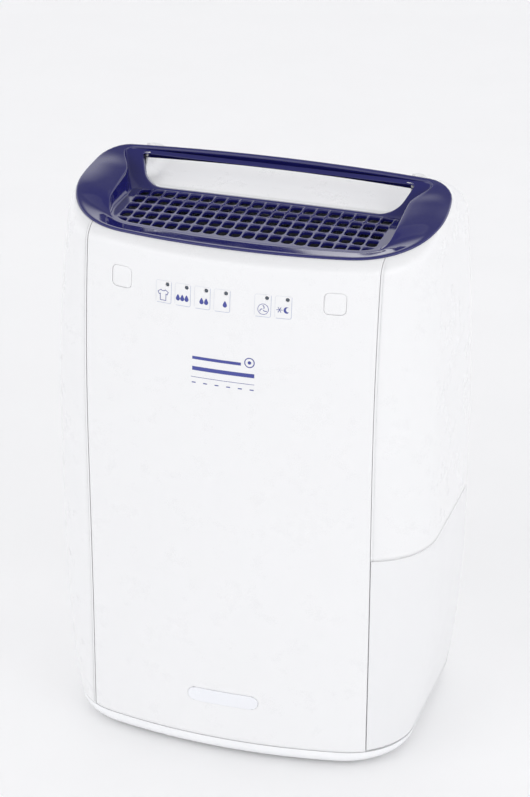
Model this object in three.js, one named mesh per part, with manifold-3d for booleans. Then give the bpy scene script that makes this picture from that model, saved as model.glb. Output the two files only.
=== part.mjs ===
import * as THREE from 'three';
import { mergeVertices } from 'three/addons/utils/BufferGeometryUtils.js';
import Module from 'manifold-3d';

const wasm = await Module();
wasm.setup();

// Sizes are in millimetres, Z is up, the front faces -Y and the origin is under the middle of the feet.

// Driving sizes
const width = 336;
const depth = 219;
const height = 500;
const wall = 2.6;
const seam = 0.5;
const clearance = 0.4;
const footHeight = 4;
const baseTop = 16;
const tankTop = height * 0.408;
const foldLevel = height - 43;
const grilleColumns = 20;
const grilleRows = 5;
const buttonSize = 17.8;
const buttonTravel = 1.2;
const fanBlades = 12;
const finCount = 8;

// Sizes worked out from the driving sizes
const halfWidth = width / 2;
const halfDepth = depth / 2;
const coverHalf = halfWidth - 43;
const coverRear = -0.22 * depth;
const tankWallX = halfWidth - 80;
const tankBackY = halfDepth - 39.5;
const coilHalf = halfWidth - 54;
const coilBottom = height * 0.45;
const coilTop = height * 0.85;
const fanLevel = height * 0.652;
const trimHalf = halfWidth - 9.5;
const trimFront = -halfDepth + 30.1;
const trimRear = halfDepth - 59.9;
const creaseHalf = trimHalf - 33;
const creaseFront = trimFront + 19.4;
const creaseRear = trimRear - 11;
const floorHalf = creaseHalf - 7.5;
const floorFront = creaseFront + 3;
const floorRear = trimRear - 32;
const slotHalf = floorHalf - 2;
const slotTop = height - 11;
const slotFloor = height - 29.5;
const ledgeTop = height - 31;
const recessHalf = slotHalf + 2.4;
const alongDepth = (fraction) => (fraction - 0.5) * depth;

const far = 900;
const group = new THREE.Group();
group.name = 'dehumidifier';

const toSolid = (geometry) => {
  const copy = geometry.clone();
  copy.deleteAttribute('normal');
  copy.deleteAttribute('uv');
  const merged = mergeVertices(copy, 1e-4);
  const mesh = new wasm.Mesh({
    numProp: 3,
    vertProperties: new Float32Array(merged.attributes.position.array),
    triVerts: new Uint32Array(merged.index.array),
  });
  return new wasm.Manifold(mesh);
};

const fromSolid = (solid) => {
  const mesh = solid.getMesh();
  const geometry = new THREE.BufferGeometry();
  const positions = new Float32Array(mesh.numVert * 3);
  for (let i = 0; i < mesh.numVert; i += 1) {
    positions[i * 3] = mesh.vertProperties[i * mesh.numProp];
    positions[i * 3 + 1] = mesh.vertProperties[i * mesh.numProp + 1];
    positions[i * 3 + 2] = mesh.vertProperties[i * mesh.numProp + 2];
  }
  geometry.setAttribute('position', new THREE.BufferAttribute(positions, 3));
  geometry.setIndex(new THREE.BufferAttribute(new Uint32Array(mesh.triVerts), 1));
  return geometry;
};

const addNode = (name, solid, color, roughness, metalness = 0, extra = {}) => {
  const geometry = fromSolid(solid).toNonIndexed();
  geometry.computeVertexNormals();
  const material = new THREE.MeshStandardMaterial({ color, roughness, metalness, ...extra });
  const mesh = new THREE.Mesh(geometry, material);
  mesh.name = name;
  group.add(mesh);
};

// A block given by its two ends along each axis
const block = (x0, x1, y0, y1, z0, z1) => {
  const geometry = new THREE.BoxGeometry(x1 - x0, y1 - y0, z1 - z0);
  geometry.translate((x0 + x1) / 2, (y0 + y1) / 2, (z0 + z1) / 2);
  return toSolid(geometry);
};

// A round bar along z from z0 to z1
const roundZ = (x, y, z0, z1, radius, sides = 24, topRadius = radius) => {
  const geometry = new THREE.CylinderGeometry(topRadius, radius, z1 - z0, sides);
  geometry.rotateX(Math.PI / 2);
  geometry.translate(x, y, (z0 + z1) / 2);
  return toSolid(geometry);
};

// A round bar along y from y0 to y1
const roundY = (x, z, y0, y1, radius, sides = 24) => {
  const geometry = new THREE.CylinderGeometry(radius, radius, y1 - y0, sides);
  geometry.translate(x, (y0 + y1) / 2, z);
  return toSolid(geometry);
};

// A round bar along x from x0 to x1
const roundX = (y, z, x0, x1, radius, sides = 12) => {
  const geometry = new THREE.CylinderGeometry(radius, radius, x1 - x0, sides);
  geometry.rotateZ(Math.PI / 2);
  geometry.translate((x0 + x1) / 2, y, z);
  return toSolid(geometry);
};

// A turned shape from a list of radius and height pairs that starts and ends on the axis
const turned = (pairs, x, y, sides = 32) => {
  const points = pairs.map(([radius, level]) => new THREE.Vector2(radius, level));
  const geometry = new THREE.LatheGeometry(points, sides);
  geometry.rotateX(Math.PI / 2);
  geometry.translate(x, y, 0);
  return toSolid(geometry);
};

const roundedRectangle = (w, h, radius) => {
  const shape = new THREE.Shape();
  shape.moveTo(-w / 2 + radius, -h / 2);
  shape.lineTo(w / 2 - radius, -h / 2);
  shape.absarc(w / 2 - radius, -h / 2 + radius, radius, -Math.PI / 2, 0, false);
  shape.lineTo(w / 2, h / 2 - radius);
  shape.absarc(w / 2 - radius, h / 2 - radius, radius, 0, Math.PI / 2, false);
  shape.lineTo(-w / 2 + radius, h / 2);
  shape.absarc(-w / 2 + radius, h / 2 - radius, radius, Math.PI / 2, Math.PI, false);
  shape.lineTo(-w / 2, -h / 2 + radius);
  shape.absarc(-w / 2 + radius, -h / 2 + radius, radius, Math.PI, Math.PI * 1.5, false);
  return shape;
};

// A flat shape drawn in x and z, pushed along y
const plateY = (shape, x, z, y0, y1, curveSegments = 4) => {
  const geometry = new THREE.ExtrudeGeometry(shape, { depth: y1 - y0, bevelEnabled: false, curveSegments });
  geometry.rotateX(Math.PI / 2);
  geometry.translate(x, y1, z);
  return toSolid(geometry);
};

// A flat shape drawn in x and y, pushed up along z
const plateZ = (shape, x, y, z0, z1, curveSegments = 4) => {
  const geometry = new THREE.ExtrudeGeometry(shape, { depth: z1 - z0, bevelEnabled: false, curveSegments });
  geometry.translate(x, y, z0);
  return toSolid(geometry);
};

// A flat shape drawn in y and z, pushed along x
const plateX = (corners, x0, x1) => {
  const shape = new THREE.Shape(corners.map(([y, z]) => new THREE.Vector2(y, z)));
  const geometry = new THREE.ExtrudeGeometry(shape, { depth: x1 - x0, bevelEnabled: false });
  const turn = new THREE.Matrix4().set(0, 0, 1, 0, 1, 0, 0, 0, 0, 1, 0, 0, 0, 0, 0, 1);
  geometry.applyMatrix4(turn);
  geometry.translate(x0, 0, 0);
  return toSolid(geometry);
};

// A bent tube through a list of points
const pipe = (points, radius, steps = 24, sides = 4) => {
  const curve = new THREE.CatmullRomCurve3(points.map((p) => new THREE.Vector3(...p)), false, 'catmullrom', 0.4);
  const shape = new THREE.Shape();
  shape.absarc(0, 0, radius, 0, Math.PI * 2, false);
  const options = { steps, extrudePath: curve, bevelEnabled: false, curveSegments: sides };
  return toSolid(new THREE.ExtrudeGeometry(shape, options));
};

// The plan outline: bowed front, large front corners, straight sides and small rear corners.
// Every outline has the same number of points, so that outlines can be joined one above another.
const outline = (half, front, rear, frontBow, corner, rearCorner) => {
  const points = [];
  const cornerX = half - corner;
  const bowCentre = front + frontBow;
  const cornerY = bowCentre - Math.sqrt((frontBow - corner) ** 2 - cornerX ** 2);
  const turnAngle = Math.atan2(cornerX, bowCentre - cornerY);
  const bowSteps = 8;
  for (let i = 0; i < bowSteps; i += 1) {
    const angle = -turnAngle + (2 * turnAngle * i) / bowSteps;
    points.push([frontBow * Math.sin(angle), bowCentre - frontBow * Math.cos(angle)]);
  }
  const arc = (x, y, radius, start, end, steps) => {
    for (let i = 0; i < steps; i += 1) {
      const angle = start + ((end - start) * i) / steps;
      points.push([x + radius * Math.cos(angle), y + radius * Math.sin(angle)]);
    }
  };
  const line = (x0, y0, x1, y1, steps) => {
    for (let i = 0; i < steps; i += 1) {
      points.push([x0 + ((x1 - x0) * i) / steps, y0 + ((y1 - y0) * i) / steps]);
    }
  };
  const quarter = Math.PI / 2;
  arc(cornerX, cornerY, corner, -quarter + turnAngle, 0, 7);
  line(half, cornerY, half, rear - rearCorner, 2);
  arc(half - rearCorner, rear - rearCorner, rearCorner, 0, quarter, 4);
  line(half - rearCorner, rear, -half + rearCorner, rear, 4);
  arc(-half + rearCorner, rear - rearCorner, rearCorner, quarter, quarter * 2, 4);
  line(-half, rear - rearCorner, -half, cornerY, 2);
  arc(-cornerX, cornerY, corner, quarter * 2, quarter * 3 - turnAngle, 7);
  return points;
};

// How far the outer skin stands in from its widest size at a height
const skinInset = (z) => {
  const low = Math.max(0, (height * 0.4 - z) / (height * 0.4)) ** 2.7;
  const high = Math.max(0, (z - height * 0.56) / (foldLevel - height * 0.56)) ** 2;
  const curl = Math.min(1, Math.max(0, (footHeight + 9 - z) / 9));
  const under = 9 * (1 - Math.sqrt(1 - curl * curl));
  const front = 5.9 * (1 - low) + 12.2 * high + under;
  return { side: 17.5 * low + 8 * high + under, front, rear: 1.5 * low + 1.5 * high + under };
};

const skinRing = (z, inset = 0) => {
  const shape = skinInset(z);
  const half = halfWidth - shape.side - inset;
  const front = -halfDepth + shape.front + inset;
  const rear = halfDepth - shape.rear - inset;
  const ring = outline(half, front, rear, 500 - inset, 60 - inset, 44 - inset);
  return ring.map(([x, y]) => [x, y, z]);
};

// Where the front skin stands at a place on it
const skinFrontAt = (x, z) => {
  const ring = skinRing(z);
  for (let i = 0; i < ring.length - 1; i += 1) {
    const [x0, y0] = ring[i];
    const [x1, y1] = ring[i + 1];
    if (x >= x0 && x <= x1 && y0 < 0) return y0 + ((y1 - y0) * (x - x0)) / (x1 - x0);
  }
  return -halfDepth;
};

// The sloping plane that the top trim lies on
const trimSlope = 32.5 / (trimRear - trimFront);
const trimPlane = (y) => height - trimSlope * (trimRear - y);

const trimRing = (inset, drop) => {
  const ring = outline(trimHalf - inset, trimFront + inset, trimRear - inset, 690, 72 - inset, Math.max(4, 20 - inset));
  return ring.map(([x, y]) => {
    const narrow = 1 - 0.05 * Math.max(0, y / trimRear) ** 2;
    const level = Math.min(1, Math.max(0, (trimFront + 34 - y) / 20));
    return [x * narrow, y, trimPlane(y - inset * level) - drop];
  });
};

const mixRings = (a, b, across, up) => a.map((p, i) => [
  p[0] + (b[i][0] - p[0]) * across,
  p[1] + (b[i][1] - p[1]) * across,
  p[2] + (b[i][2] - p[2]) * up,
]);

// Joins outlines one after another; the ends are closed with a flat cap unless the loop meets itself
const loft = (rings, meetsItself = false) => {
  const count = rings[0].length;
  const positions = [];
  const index = [];
  rings.forEach((ring) => ring.forEach((p) => positions.push(p[0], p[1], p[2])));
  const last = meetsItself ? rings.length : rings.length - 1;
  for (let r = 0; r < last; r += 1) {
    const next = (r + 1) % rings.length;
    for (let i = 0; i < count; i += 1) {
      const j = (i + 1) % count;
      const a = r * count + i;
      const b = r * count + j;
      const c = next * count + j;
      const d = next * count + i;
      index.push(a, b, c, a, c, d);
    }
  }
  if (!meetsItself) {
    [0, rings.length - 1].forEach((r) => {
      const ring = rings[r];
      const middle = [0, 1, 2].map((k) => ring.reduce((sum, p) => sum + p[k], 0) / count);
      const centre = positions.length / 3;
      positions.push(...middle);
      for (let i = 0; i < count; i += 1) {
        const j = (i + 1) % count;
        if (r === 0) index.push(centre, r * count + j, r * count + i);
        else index.push(centre, r * count + i, r * count + j);
      }
    });
  }
  const geometry = new THREE.BufferGeometry();
  geometry.setAttribute('position', new THREE.Float32BufferAttribute(positions, 3));
  geometry.setIndex(index);
  const merged = new wasm.Mesh({
    numProp: 3,
    vertProperties: new Float32Array(positions),
    triVerts: new Uint32Array(index),
  });
  return new wasm.Manifold(merged);
};

// Skin levels from the bottom of the shell to the fold
const shellBottom = baseTop + seam;
const levels = [shellBottom];
const levelFractions = [0.06, 0.15, 0.28, 0.48, 0.7, 0.88, 1];
levelFractions.forEach((f) => levels.push(shellBottom + (foldLevel - shellBottom) * f));

const crownRings = (inset, drop) => {
  const fold = skinRing(foldLevel, inset);
  const top = trimRing(inset, 3 + drop);
  return [mixRings(fold, top, 0.45, 0.55), top];
};

const outerRings = levels.map((z) => skinRing(z)).concat(crownRings(0, 0));
const innerRings = levels.map((z) => skinRing(z, wall)).concat([
  mixRings(skinRing(foldLevel, wall), trimRing(wall, 3 + wall), 0.45, 0.55),
]);
const shell = loft(
  outerRings.concat([trimRing(6.5, 3), trimRing(6.5, 3 + wall), trimRing(wall + 1.5, 3 + wall)], innerRings.reverse()),
  true,
);
const bodySolid = (inset = 0) => {
  const rings = levels.map((z) => skinRing(z, inset));
  const fold = skinRing(foldLevel, inset);
  const top = trimRing(inset, 3 + inset);
  return loft(rings.concat([mixRings(fold, top, 0.45, 0.55), top]));
};
const outerSolid = bodySolid();

// Base pan: the rounded foot of the body, with a sunken floor under the compressor
const panFloor = footHeight + 4;
const baseLevels = [0, 0.1, 0.35, 0.7, 1].map((f) => footHeight + (baseTop - footHeight) * f);
const panHollow = [panFloor, baseTop + 2].map((z) => skinRing(panFloor, 10).map(([x, y]) => [x, y, z]));
const footFrontX = halfWidth - 72;
const footRearX = halfWidth - 48;
const footFrontY = -halfDepth + 44;
const footRearY = halfDepth - 38;
const footPlaces = [[-footFrontX, footFrontY], [footFrontX, footFrontY], [-footRearX, footRearY], [footRearX, footRearY]];
let basePan = loft(baseLevels.map((z) => skinRing(z)));
basePan = basePan.subtract(loft(panHollow).intersect(block(-far, tankWallX - 10, -far, far, 0, far)));
footPlaces.forEach(([x, y]) => {
  basePan = basePan.subtract(roundZ(x, y, 0, footHeight + 2.6, 4.4, 16));
});
const compressorX = -halfWidth + 77;
const compressorY = alongDepth(0.53);
const compressorRadius = 54;
const mountPlaces = [90, 210, 330].map((degrees) => {
  const angle = (degrees * Math.PI) / 180;
  return [compressorX + 43 * Math.cos(angle), compressorY + 43 * Math.sin(angle)];
});
mountPlaces.forEach(([x, y]) => {
  basePan = basePan.add(roundZ(x, y, panFloor - 1, panFloor + 4, 5, 16));
});
addNode('base_pan', basePan, 0xf4f4f2, 0.42);

footPlaces.forEach(([x, y], i) => {
  const pad = roundZ(x, y, 0, footHeight - 0.3, 10, 18, 11).add(roundZ(x, y, footHeight - 1, footHeight + 2.2, 4, 10));
  addNode(`foot_${i + 1}`, pad, 0x2b2c30, 0.85);
});

// Front cover: the middle of the shell, from seam to seam, with openings for buttons and lamps
const buttonX = halfWidth - 77;
const buttonLevel = height - 67;
const lampLevel = height - 66.2;
const lampPlaces = [-0.2935, -0.192, -0.0905, 0.01, 0.2143, 0.315].map((f) => f * halfWidth);
const boardFront = -halfDepth + 39.5;
const boardBack = boardFront + 1.6;
const boardBottom = height - 84;
const boardTop = height - 52;
let frontCover = shell.intersect(block(-coverHalf + seam / 2, coverHalf - seam / 2, -far, coverRear, 0, far));
const switchPlaces = [-buttonX, buttonX];
const buttonHole = roundedRectangle(buttonSize + 2 * clearance, buttonSize + 2 * clearance, 4.2);
switchPlaces.forEach((x) => {
  frontCover = frontCover.subtract(plateY(buttonHole, x, buttonLevel, -far, boardFront, 3));
});
lampPlaces.forEach((x) => {
  frontCover = frontCover.subtract(roundY(x, lampLevel, -far, boardFront, 1.9, 12));
});
const bossPlaces = [[-0.4, boardTop - 6], [0.4, boardTop - 6], [-0.4, boardBottom + 6], [0.4, boardBottom + 6]];
bossPlaces.forEach(([f, z]) => {
  const x = f * halfWidth;
  const boss = roundY(x, z, skinFrontAt(x, z) + 1.4, boardFront - 0.3, 3.4, 12);
  frontCover = frontCover.add(boss);
});
const badgeWidth = 64;
const badgeHeight = 13;
const badgeLevel = 56;
const badgeFront = skinFrontAt(0, badgeLevel);
const badgePocket = roundedRectangle(badgeWidth + 2 * 0.3, badgeHeight + 2 * 0.3, badgeHeight / 2);
frontCover = frontCover.subtract(plateY(badgePocket, 0, badgeLevel, -far, badgeFront + 1.3, 5));
addNode('front_cover', frontCover, 0xf7f7f6, 0.3);

const badge = plateY(roundedRectangle(badgeWidth, badgeHeight, badgeHeight / 2 - 0.1), 0, badgeLevel, badgeFront - 0.7, badgeFront + 1, 5);
addNode('blank_badge', badge, 0xf1f2f3, 0.35);

// Rear housing: sides, back, shoulders, hand recess, tank bay and intake window
const ledge = block(-recessHalf - wall, recessHalf + wall, floorRear + 4, far, ledgeTop - wall, ledgeTop);
const recessCheek = (side) => {
  const x0 = side > 0 ? recessHalf : -recessHalf - wall;
  return block(x0, x0 + wall, trimRear + 1.2, far, ledgeTop - wall, far);
};
let rearHousing = shell.subtract(block(-coverHalf - seam / 2, coverHalf + seam / 2, -far, coverRear, 0, far));
rearHousing = rearHousing.add(ledge.add(recessCheek(1)).add(recessCheek(-1)).intersect(outerSolid));
rearHousing = rearHousing.subtract(block(-recessHalf, recessHalf, trimRear - 26, far, ledgeTop, far));
const bayTop = tankTop + 2.4;
const bayWall = block(tankWallX - 6, tankWallX - 6 + wall, -halfDepth + 14, far, shellBottom, bayTop + wall);
const bayBack = block(tankWallX - 6, far, tankBackY + 2.4, tankBackY + 2.4 + wall, shellBottom, bayTop + wall);
const bayRoof = block(tankWallX - 6, far, -halfDepth + 14, tankBackY + 2.4 + wall, bayTop, bayTop + wall);
const innerFit = bodySolid(1.2);
const bayInside = bodySolid(6).intersect(bayWall.add(bayRoof));
const dripX = tankWallX + 26;
const dripY = alongDepth(0.62);
const bayWithBack = bayInside.add(bayBack.intersect(innerFit));
rearHousing = rearHousing.subtract(block(coverHalf - 20, far, -far, tankBackY + seam, 0, tankTop + seam));
rearHousing = rearHousing.add(bayWithBack.add(bayRoof.intersect(innerFit).intersect(block(coverHalf, far, -far, far, 0, far))));
rearHousing = rearHousing.subtract(roundZ(dripX, dripY, bayTop - 4, bayTop + wall + 4, 8, 20));
const windowHalf = coilHalf + 3;
const windowBottom = coilBottom + 1;
const windowTop = coilTop + 3;
const windowLevel = (windowBottom + windowTop) / 2;
const windowShape = roundedRectangle(2 * windowHalf, windowTop - windowBottom, 8);
rearHousing = rearHousing.subtract(plateY(windowShape, 0, windowLevel, halfDepth - 20, far, 3));
const glandX = -halfWidth + 64;
const glandLevel = 52;
rearHousing = rearHousing.subtract(roundY(glandX, glandLevel, halfDepth - 20, far, 8.4, 20));
const drainX = tankWallX - 28;
const drainLevel = tankTop - 34;
rearHousing = rearHousing.subtract(roundY(drainX, drainLevel, halfDepth - 20, far, 8.4, 20));
const screwPlaces = [
  [-halfWidth + 48, 120], [halfWidth - 48, 120], [-halfWidth + 48, foldLevel - 14], [halfWidth - 48, foldLevel - 14],
];
screwPlaces.forEach(([x, z]) => {
  rearHousing = rearHousing.subtract(roundY(x, z, halfDepth - 20, far, 2.4, 8));
  rearHousing = rearHousing.subtract(roundY(x, z, halfDepth - 3.6, far, 4.6, 12));
});
addNode('rear_housing', rearHousing, 0xf5f5f4, 0.36);

// Top trim: flange, dish, grille floor and handle bar in one moulding
const floorZ = (y) => height - 34.5 + 0.055 * (y - floorFront);
const floorRing = (spread, drop) => {
  const ring = outline(floorHalf + spread, floorFront - spread, floorRear + spread * 0.1, 690, 30 + spread, 12);
  return ring.map(([x, y]) => [x, y, floorZ(y) - drop]);
};
const creaseRing = (spread, drop) => {
  const ring = outline(creaseHalf + spread, creaseFront - spread, creaseRear + spread, 690, 34 + spread, 12 + spread);
  return ring.map(([x, y]) => {
    const ahead = Math.min(1, Math.max(0, (creaseFront + 18 - y) / 13));
    const ease = ahead * ahead * (3 - 2 * ahead);
    const rim = trimPlane(y) - 0.4;
    return [x, y, rim + (floorZ(y) + 1.2 - rim) * ease - drop];
  });
};
const wallRing = (across, up) => mixRings(creaseRing(0, 0), floorRing(0, 0), across, up);
const bar = plateX([
  [trimRear - 12.5, slotTop + 1.6], [trimRear - 10.5, slotTop], [trimRear - 2, slotTop], [trimRear, slotTop + 1.8],
  [trimRear, trimPlane(trimRear) - 1.2], [trimRear - 1, trimPlane(trimRear - 1) - 0.1], [trimRear - 12.5, trimPlane(trimRear - 12.5) - 0.4],
], -slotHalf - 1, slotHalf + 1);
let trim = loft([
  floorRing(2.6, 3), creaseRing(2.6, 3), trimRing(8, 2.6), trimRing(0, 2.6),
  trimRing(0, 1.2), trimRing(0.9, 0.2), trimRing(2.4, 0), creaseRing(1.5, 0),
  wallRing(0.08, 0.2), wallRing(0.3, 0.62), wallRing(0.62, 0.9), floorRing(0, 0),
]);
trim = trim.add(bar);
const slotHeight = slotTop - slotFloor;
const slotShape = new THREE.Shape();
const slotCorner = 13;
slotShape.moveTo(-slotHalf + slotCorner, slotFloor);
slotShape.lineTo(slotHalf - slotCorner, slotFloor);
slotShape.absarc(slotHalf - slotCorner, slotFloor + slotCorner, slotCorner, -Math.PI / 2, 0, false);
slotShape.lineTo(slotHalf, slotTop);
slotShape.lineTo(-slotHalf, slotTop);
slotShape.lineTo(-slotHalf, slotFloor + slotCorner);
slotShape.absarc(-slotHalf + slotCorner, slotFloor + slotCorner, slotCorner, Math.PI, Math.PI * 1.5, false);
const slotGeometry = new THREE.ExtrudeGeometry(slotShape, { depth: 60, bevelEnabled: false, curveSegments: 5 });
slotGeometry.rotateX(Math.PI / 2);
slotGeometry.translate(0, floorRear - 2.5 + 60, 0);
trim = trim.subtract(toSolid(slotGeometry));
const columnPitch = (2 * (floorHalf - 12)) / (grilleColumns - 1);
const rowPitch = (floorRear - floorFront - 16.6) / (grilleRows - 1);
const holeWidth = columnPitch - 1.7;
const holeDepth = rowPitch - 2;
const firstRow = floorRear - 7.7 - rowPitch * (grilleRows - 1);
for (let row = 0; row < grilleRows; row += 1) {
  for (let column = 0; column < grilleColumns; column += 1) {
    const x = (column - (grilleColumns - 1) / 2) * columnPitch;
    const y = firstRow + row * rowPitch;
    const [x0, x1] = [x - holeWidth / 2, x + holeWidth / 2];
    trim = trim.subtract(block(x0, x1, y - holeDepth / 2, y + holeDepth / 2, floorZ(y) - 9, floorZ(y) + 9));
  }
}
addNode('outlet_trim', trim, 0x2f2c66, 0.16);

// Push buttons, their switches, lamps and the board behind the front cover
const capSolid = bodySolid(0.5);
const buttonNames = ['power_button', 'mode_button'];
const switchNames = ['power_switch', 'mode_switch'];
const switchFront = boardFront - 4.3;
switchPlaces.forEach((x, i) => {
  const front = skinFrontAt(x, buttonLevel);
  const capShape = roundedRectangle(buttonSize, buttonSize, 3.8);
  const cap = plateY(capShape, x, buttonLevel, -far, front + 8.6, 3).intersect(capSolid);
  const flange = plateY(roundedRectangle(buttonSize + 5, buttonSize + 5, 5), x, buttonLevel, front + 7.8, front + 9, 2);
  const stem = roundY(x, buttonLevel, front + 8, switchFront - buttonTravel - 0.3, 3, 12);
  addNode(buttonNames[i], cap.add(flange).add(stem), 0xf6f6f5, 0.3);
  const body = block(x - 3, x + 3, boardFront - 3.2, boardFront - 0.1, buttonLevel - 3, buttonLevel + 3);
  addNode(switchNames[i], body.add(roundY(x, buttonLevel, switchFront, boardFront - 1, 1.7, 12)), 0x1f2023, 0.5);
});
lampPlaces.forEach((x, i) => {
  const front = skinFrontAt(x, lampLevel);
  const lamp = roundY(x, lampLevel, front + 0.3, boardFront - 0.3, 1.5, 10);
  addNode(`lamp_${i + 1}`, lamp, 0x2c3a3a, 0.25);
});
const boardHalf = halfWidth - 63;
addNode('control_board', block(-boardHalf, boardHalf, boardFront, boardBack, boardBottom, boardTop), 0x2f6b45, 0.5);

// Water tank: its outer side is part of the body skin, and it draws out to the right
const tankBottom = shellBottom + 0.6;
const tankSkin = bodySolid(0).intersect(block(coverHalf + seam, far, -far, tankBackY, tankBottom, tankTop));
const tankFrontY = skinFrontAt(coverHalf, tankBottom) + wall * 1.3 + 1.6;
const tankBack = block(tankWallX, coverHalf + seam + 1, tankFrontY, tankBackY, tankBottom, tankTop);
const insideTank = (inset, top) => {
  const skinSide = bodySolid(inset).intersect(
    block(coverHalf + seam + inset, far, -far, tankBackY - inset, tankBottom + 2.4, top),
  );
  const flatSide = bodySolid(inset).intersect(
    block(tankWallX + inset, far, tankFrontY + inset, tankBackY - inset, tankBottom + 2.4, top),
  );
  return skinSide.add(flatSide);
};
const tankThickness = 2.3;
const waterTank = tankSkin.add(tankBack).subtract(insideTank(tankThickness, far));
const clearTank = { transparent: true, opacity: 0.55 };
addNode('water_tank', waterTank, 0xe9eef0, 0.25, 0, clearTank);

// Tank lid: a tray that sits inside the rim, with a skirt and a hole under the drip spout
const lidTop = tankTop - 3;
const lidSkirt = 26;
const lidThickness = 1.8;
const lidSpread = tankThickness + clearance;
const lidOuter = insideTank(lidSpread, lidTop).intersect(block(-far, far, -far, far, lidTop - lidSkirt, far));
const lidCut = insideTank(lidSpread + lidThickness, lidTop - lidThickness);
const floatY = alongDepth(0.2);
let tankLid = lidOuter.subtract(lidCut).subtract(roundZ(dripX, dripY, lidTop - 6, lidTop + 6, 13, 24));
const floatX = tankWallX + 34;
const hingeLevel = lidTop - 9;
const lidEar = (x) => block(x - 1.2, x + 1.2, floatY - 5, floatY + 5, hingeLevel - 5, lidTop - 1);
tankLid = tankLid.add(lidEar(floatX - 10)).add(lidEar(floatX + 10));
const earBore = roundX(floatY, hingeLevel, floatX - 13, floatX + 13, 1.9, 12);
tankLid = tankLid.subtract(earBore);
addNode('tank_lid', tankLid, 0xdfe4e8, 0.35);

// Float: a pin, an arm and a hollow-looking bob in one moulding, with a magnet in its heel
const floatPin = roundX(floatY, hingeLevel, floatX - 11.6, floatX + 11.6, 1.5, 10);
const floatArm = block(floatX - 3, floatX + 3, floatY - 3, floatY + 46, hingeLevel - 2, hingeLevel + 2);
const floatHub = roundX(floatY, hingeLevel, floatX - 7, floatX + 7, 3.4, 12);
const floatBob = block(floatX - 15, floatX + 15, floatY + 34, floatY + 66, hingeLevel - 20, hingeLevel - 1);
const magnetPocket = roundZ(floatX, floatY + 20, hingeLevel - 1, hingeLevel + 7, 3.3, 12);
const magnetCup = roundZ(floatX, floatY + 20, hingeLevel - 2, hingeLevel + 3.2, 4.6, 14);
const tankFloat = floatPin.add(floatHub).add(floatArm).add(floatBob).add(magnetCup).subtract(magnetPocket);
addNode('tank_float', tankFloat, 0xf0e9d8, 0.4);
addNode('float_magnet', roundZ(floatX, floatY + 20, hingeLevel - 0.7, hingeLevel + 3, 3, 12), 0x3b3d42, 0.35, 0.8);
const sensorBox = block(floatX - 8, floatX + 8, floatY + 13, floatY + 27, bayTop + wall + 0.3, bayTop + wall + 9);
addNode('level_switch', sensorBox, 0x26282c, 0.45);

// Drip tray: a deck under the coils with a spout over the tank
const trayBottom = bayTop + wall + clearance;
const trayFloor = trayBottom + 3;
const trayTop = coilBottom - 1;
const trayFront = alongDepth(0.56);
const trayBack = alongDepth(0.885);
const trayHalf = coilHalf + 7;
const pipeRadius = 3.2;
const besideCoil = coilHalf + 5 + pipeRadius + 4;
const condenserFront = alongDepth(0.625);
const condenserBack = alongDepth(0.725);
const evaporatorFront = alongDepth(0.745);
const evaporatorBack = alongDepth(0.865);
const pipePlaces = [[-besideCoil, evaporatorFront + 12], [-besideCoil, condenserFront + 4]];
const deckRim = skinRing(trayBottom, wall + 4);
const deckShape = new THREE.Shape(deckRim.map((p) => new THREE.Vector2(p[0], p[1])));
const deck = plateZ(deckShape, 0, 0, trayBottom, trayBottom + 2.6).intersect(
  block(-trayHalf - 14, trayHalf + 14, -halfDepth + 30, far, 0, far),
).subtract(block(floatX - 10, far, -far, floatY + 30, 0, far));
let dripTray = deck.add(block(-trayHalf, trayHalf, trayFront, trayBack, trayBottom, trayTop));
dripTray = dripTray.subtract(block(-trayHalf + wall, trayHalf - wall, trayFront + wall, trayBack - wall, trayFloor, far));
const spoutDrop = tankTop + 1.4;
dripTray = dripTray.add(roundZ(dripX, dripY, spoutDrop, trayFloor, 6.4, 20));
dripTray = dripTray.subtract(roundZ(dripX, dripY, spoutDrop - 3, trayFloor + 3, 4.4, 16));
pipePlaces.forEach(([x, y]) => {
  dripTray = dripTray.subtract(roundZ(x, y, trayBottom - 2, trayBottom + 5, pipeRadius + 2, 12));
});
addNode('drip_tray', dripTray, 0xd9dde0, 0.5);

// Coils: fins on square-section runs, held by end plates
const coil = (y0, y1, runs, bottom) => {
  let body = block(-coilHalf, -coilHalf + 1.6, y0, y1, bottom, coilTop);
  body = body.add(block(coilHalf - 1.6, coilHalf, y0, y1, bottom, coilTop));
  const pitch = (2 * coilHalf - 1.6) / (finCount + 1);
  for (let i = 1; i <= finCount; i += 1) {
    const x = -coilHalf + 0.8 + pitch * i;
    body = body.add(block(x - 0.6, x + 0.6, y0 + 1, y1 - 1, bottom, coilTop));
  }
  for (let i = 0; i < runs; i += 1) {
    const z = bottom + ((coilTop - bottom) * (i + 0.5)) / runs;
    const y = (y0 + y1) / 2;
    body = body.add(block(-coilHalf - 5, coilHalf + 5, y - 3.4, y + 3.4, z - 3.4, z + 3.4));
  }
  return body;
};
addNode('condenser', coil(condenserFront, condenserBack, 3, coilBottom), 0xb9bec3, 0.4, 0.85);
addNode('evaporator', coil(evaporatorFront, evaporatorBack, 3, coilBottom), 0xc6cacd, 0.4, 0.85);

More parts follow.
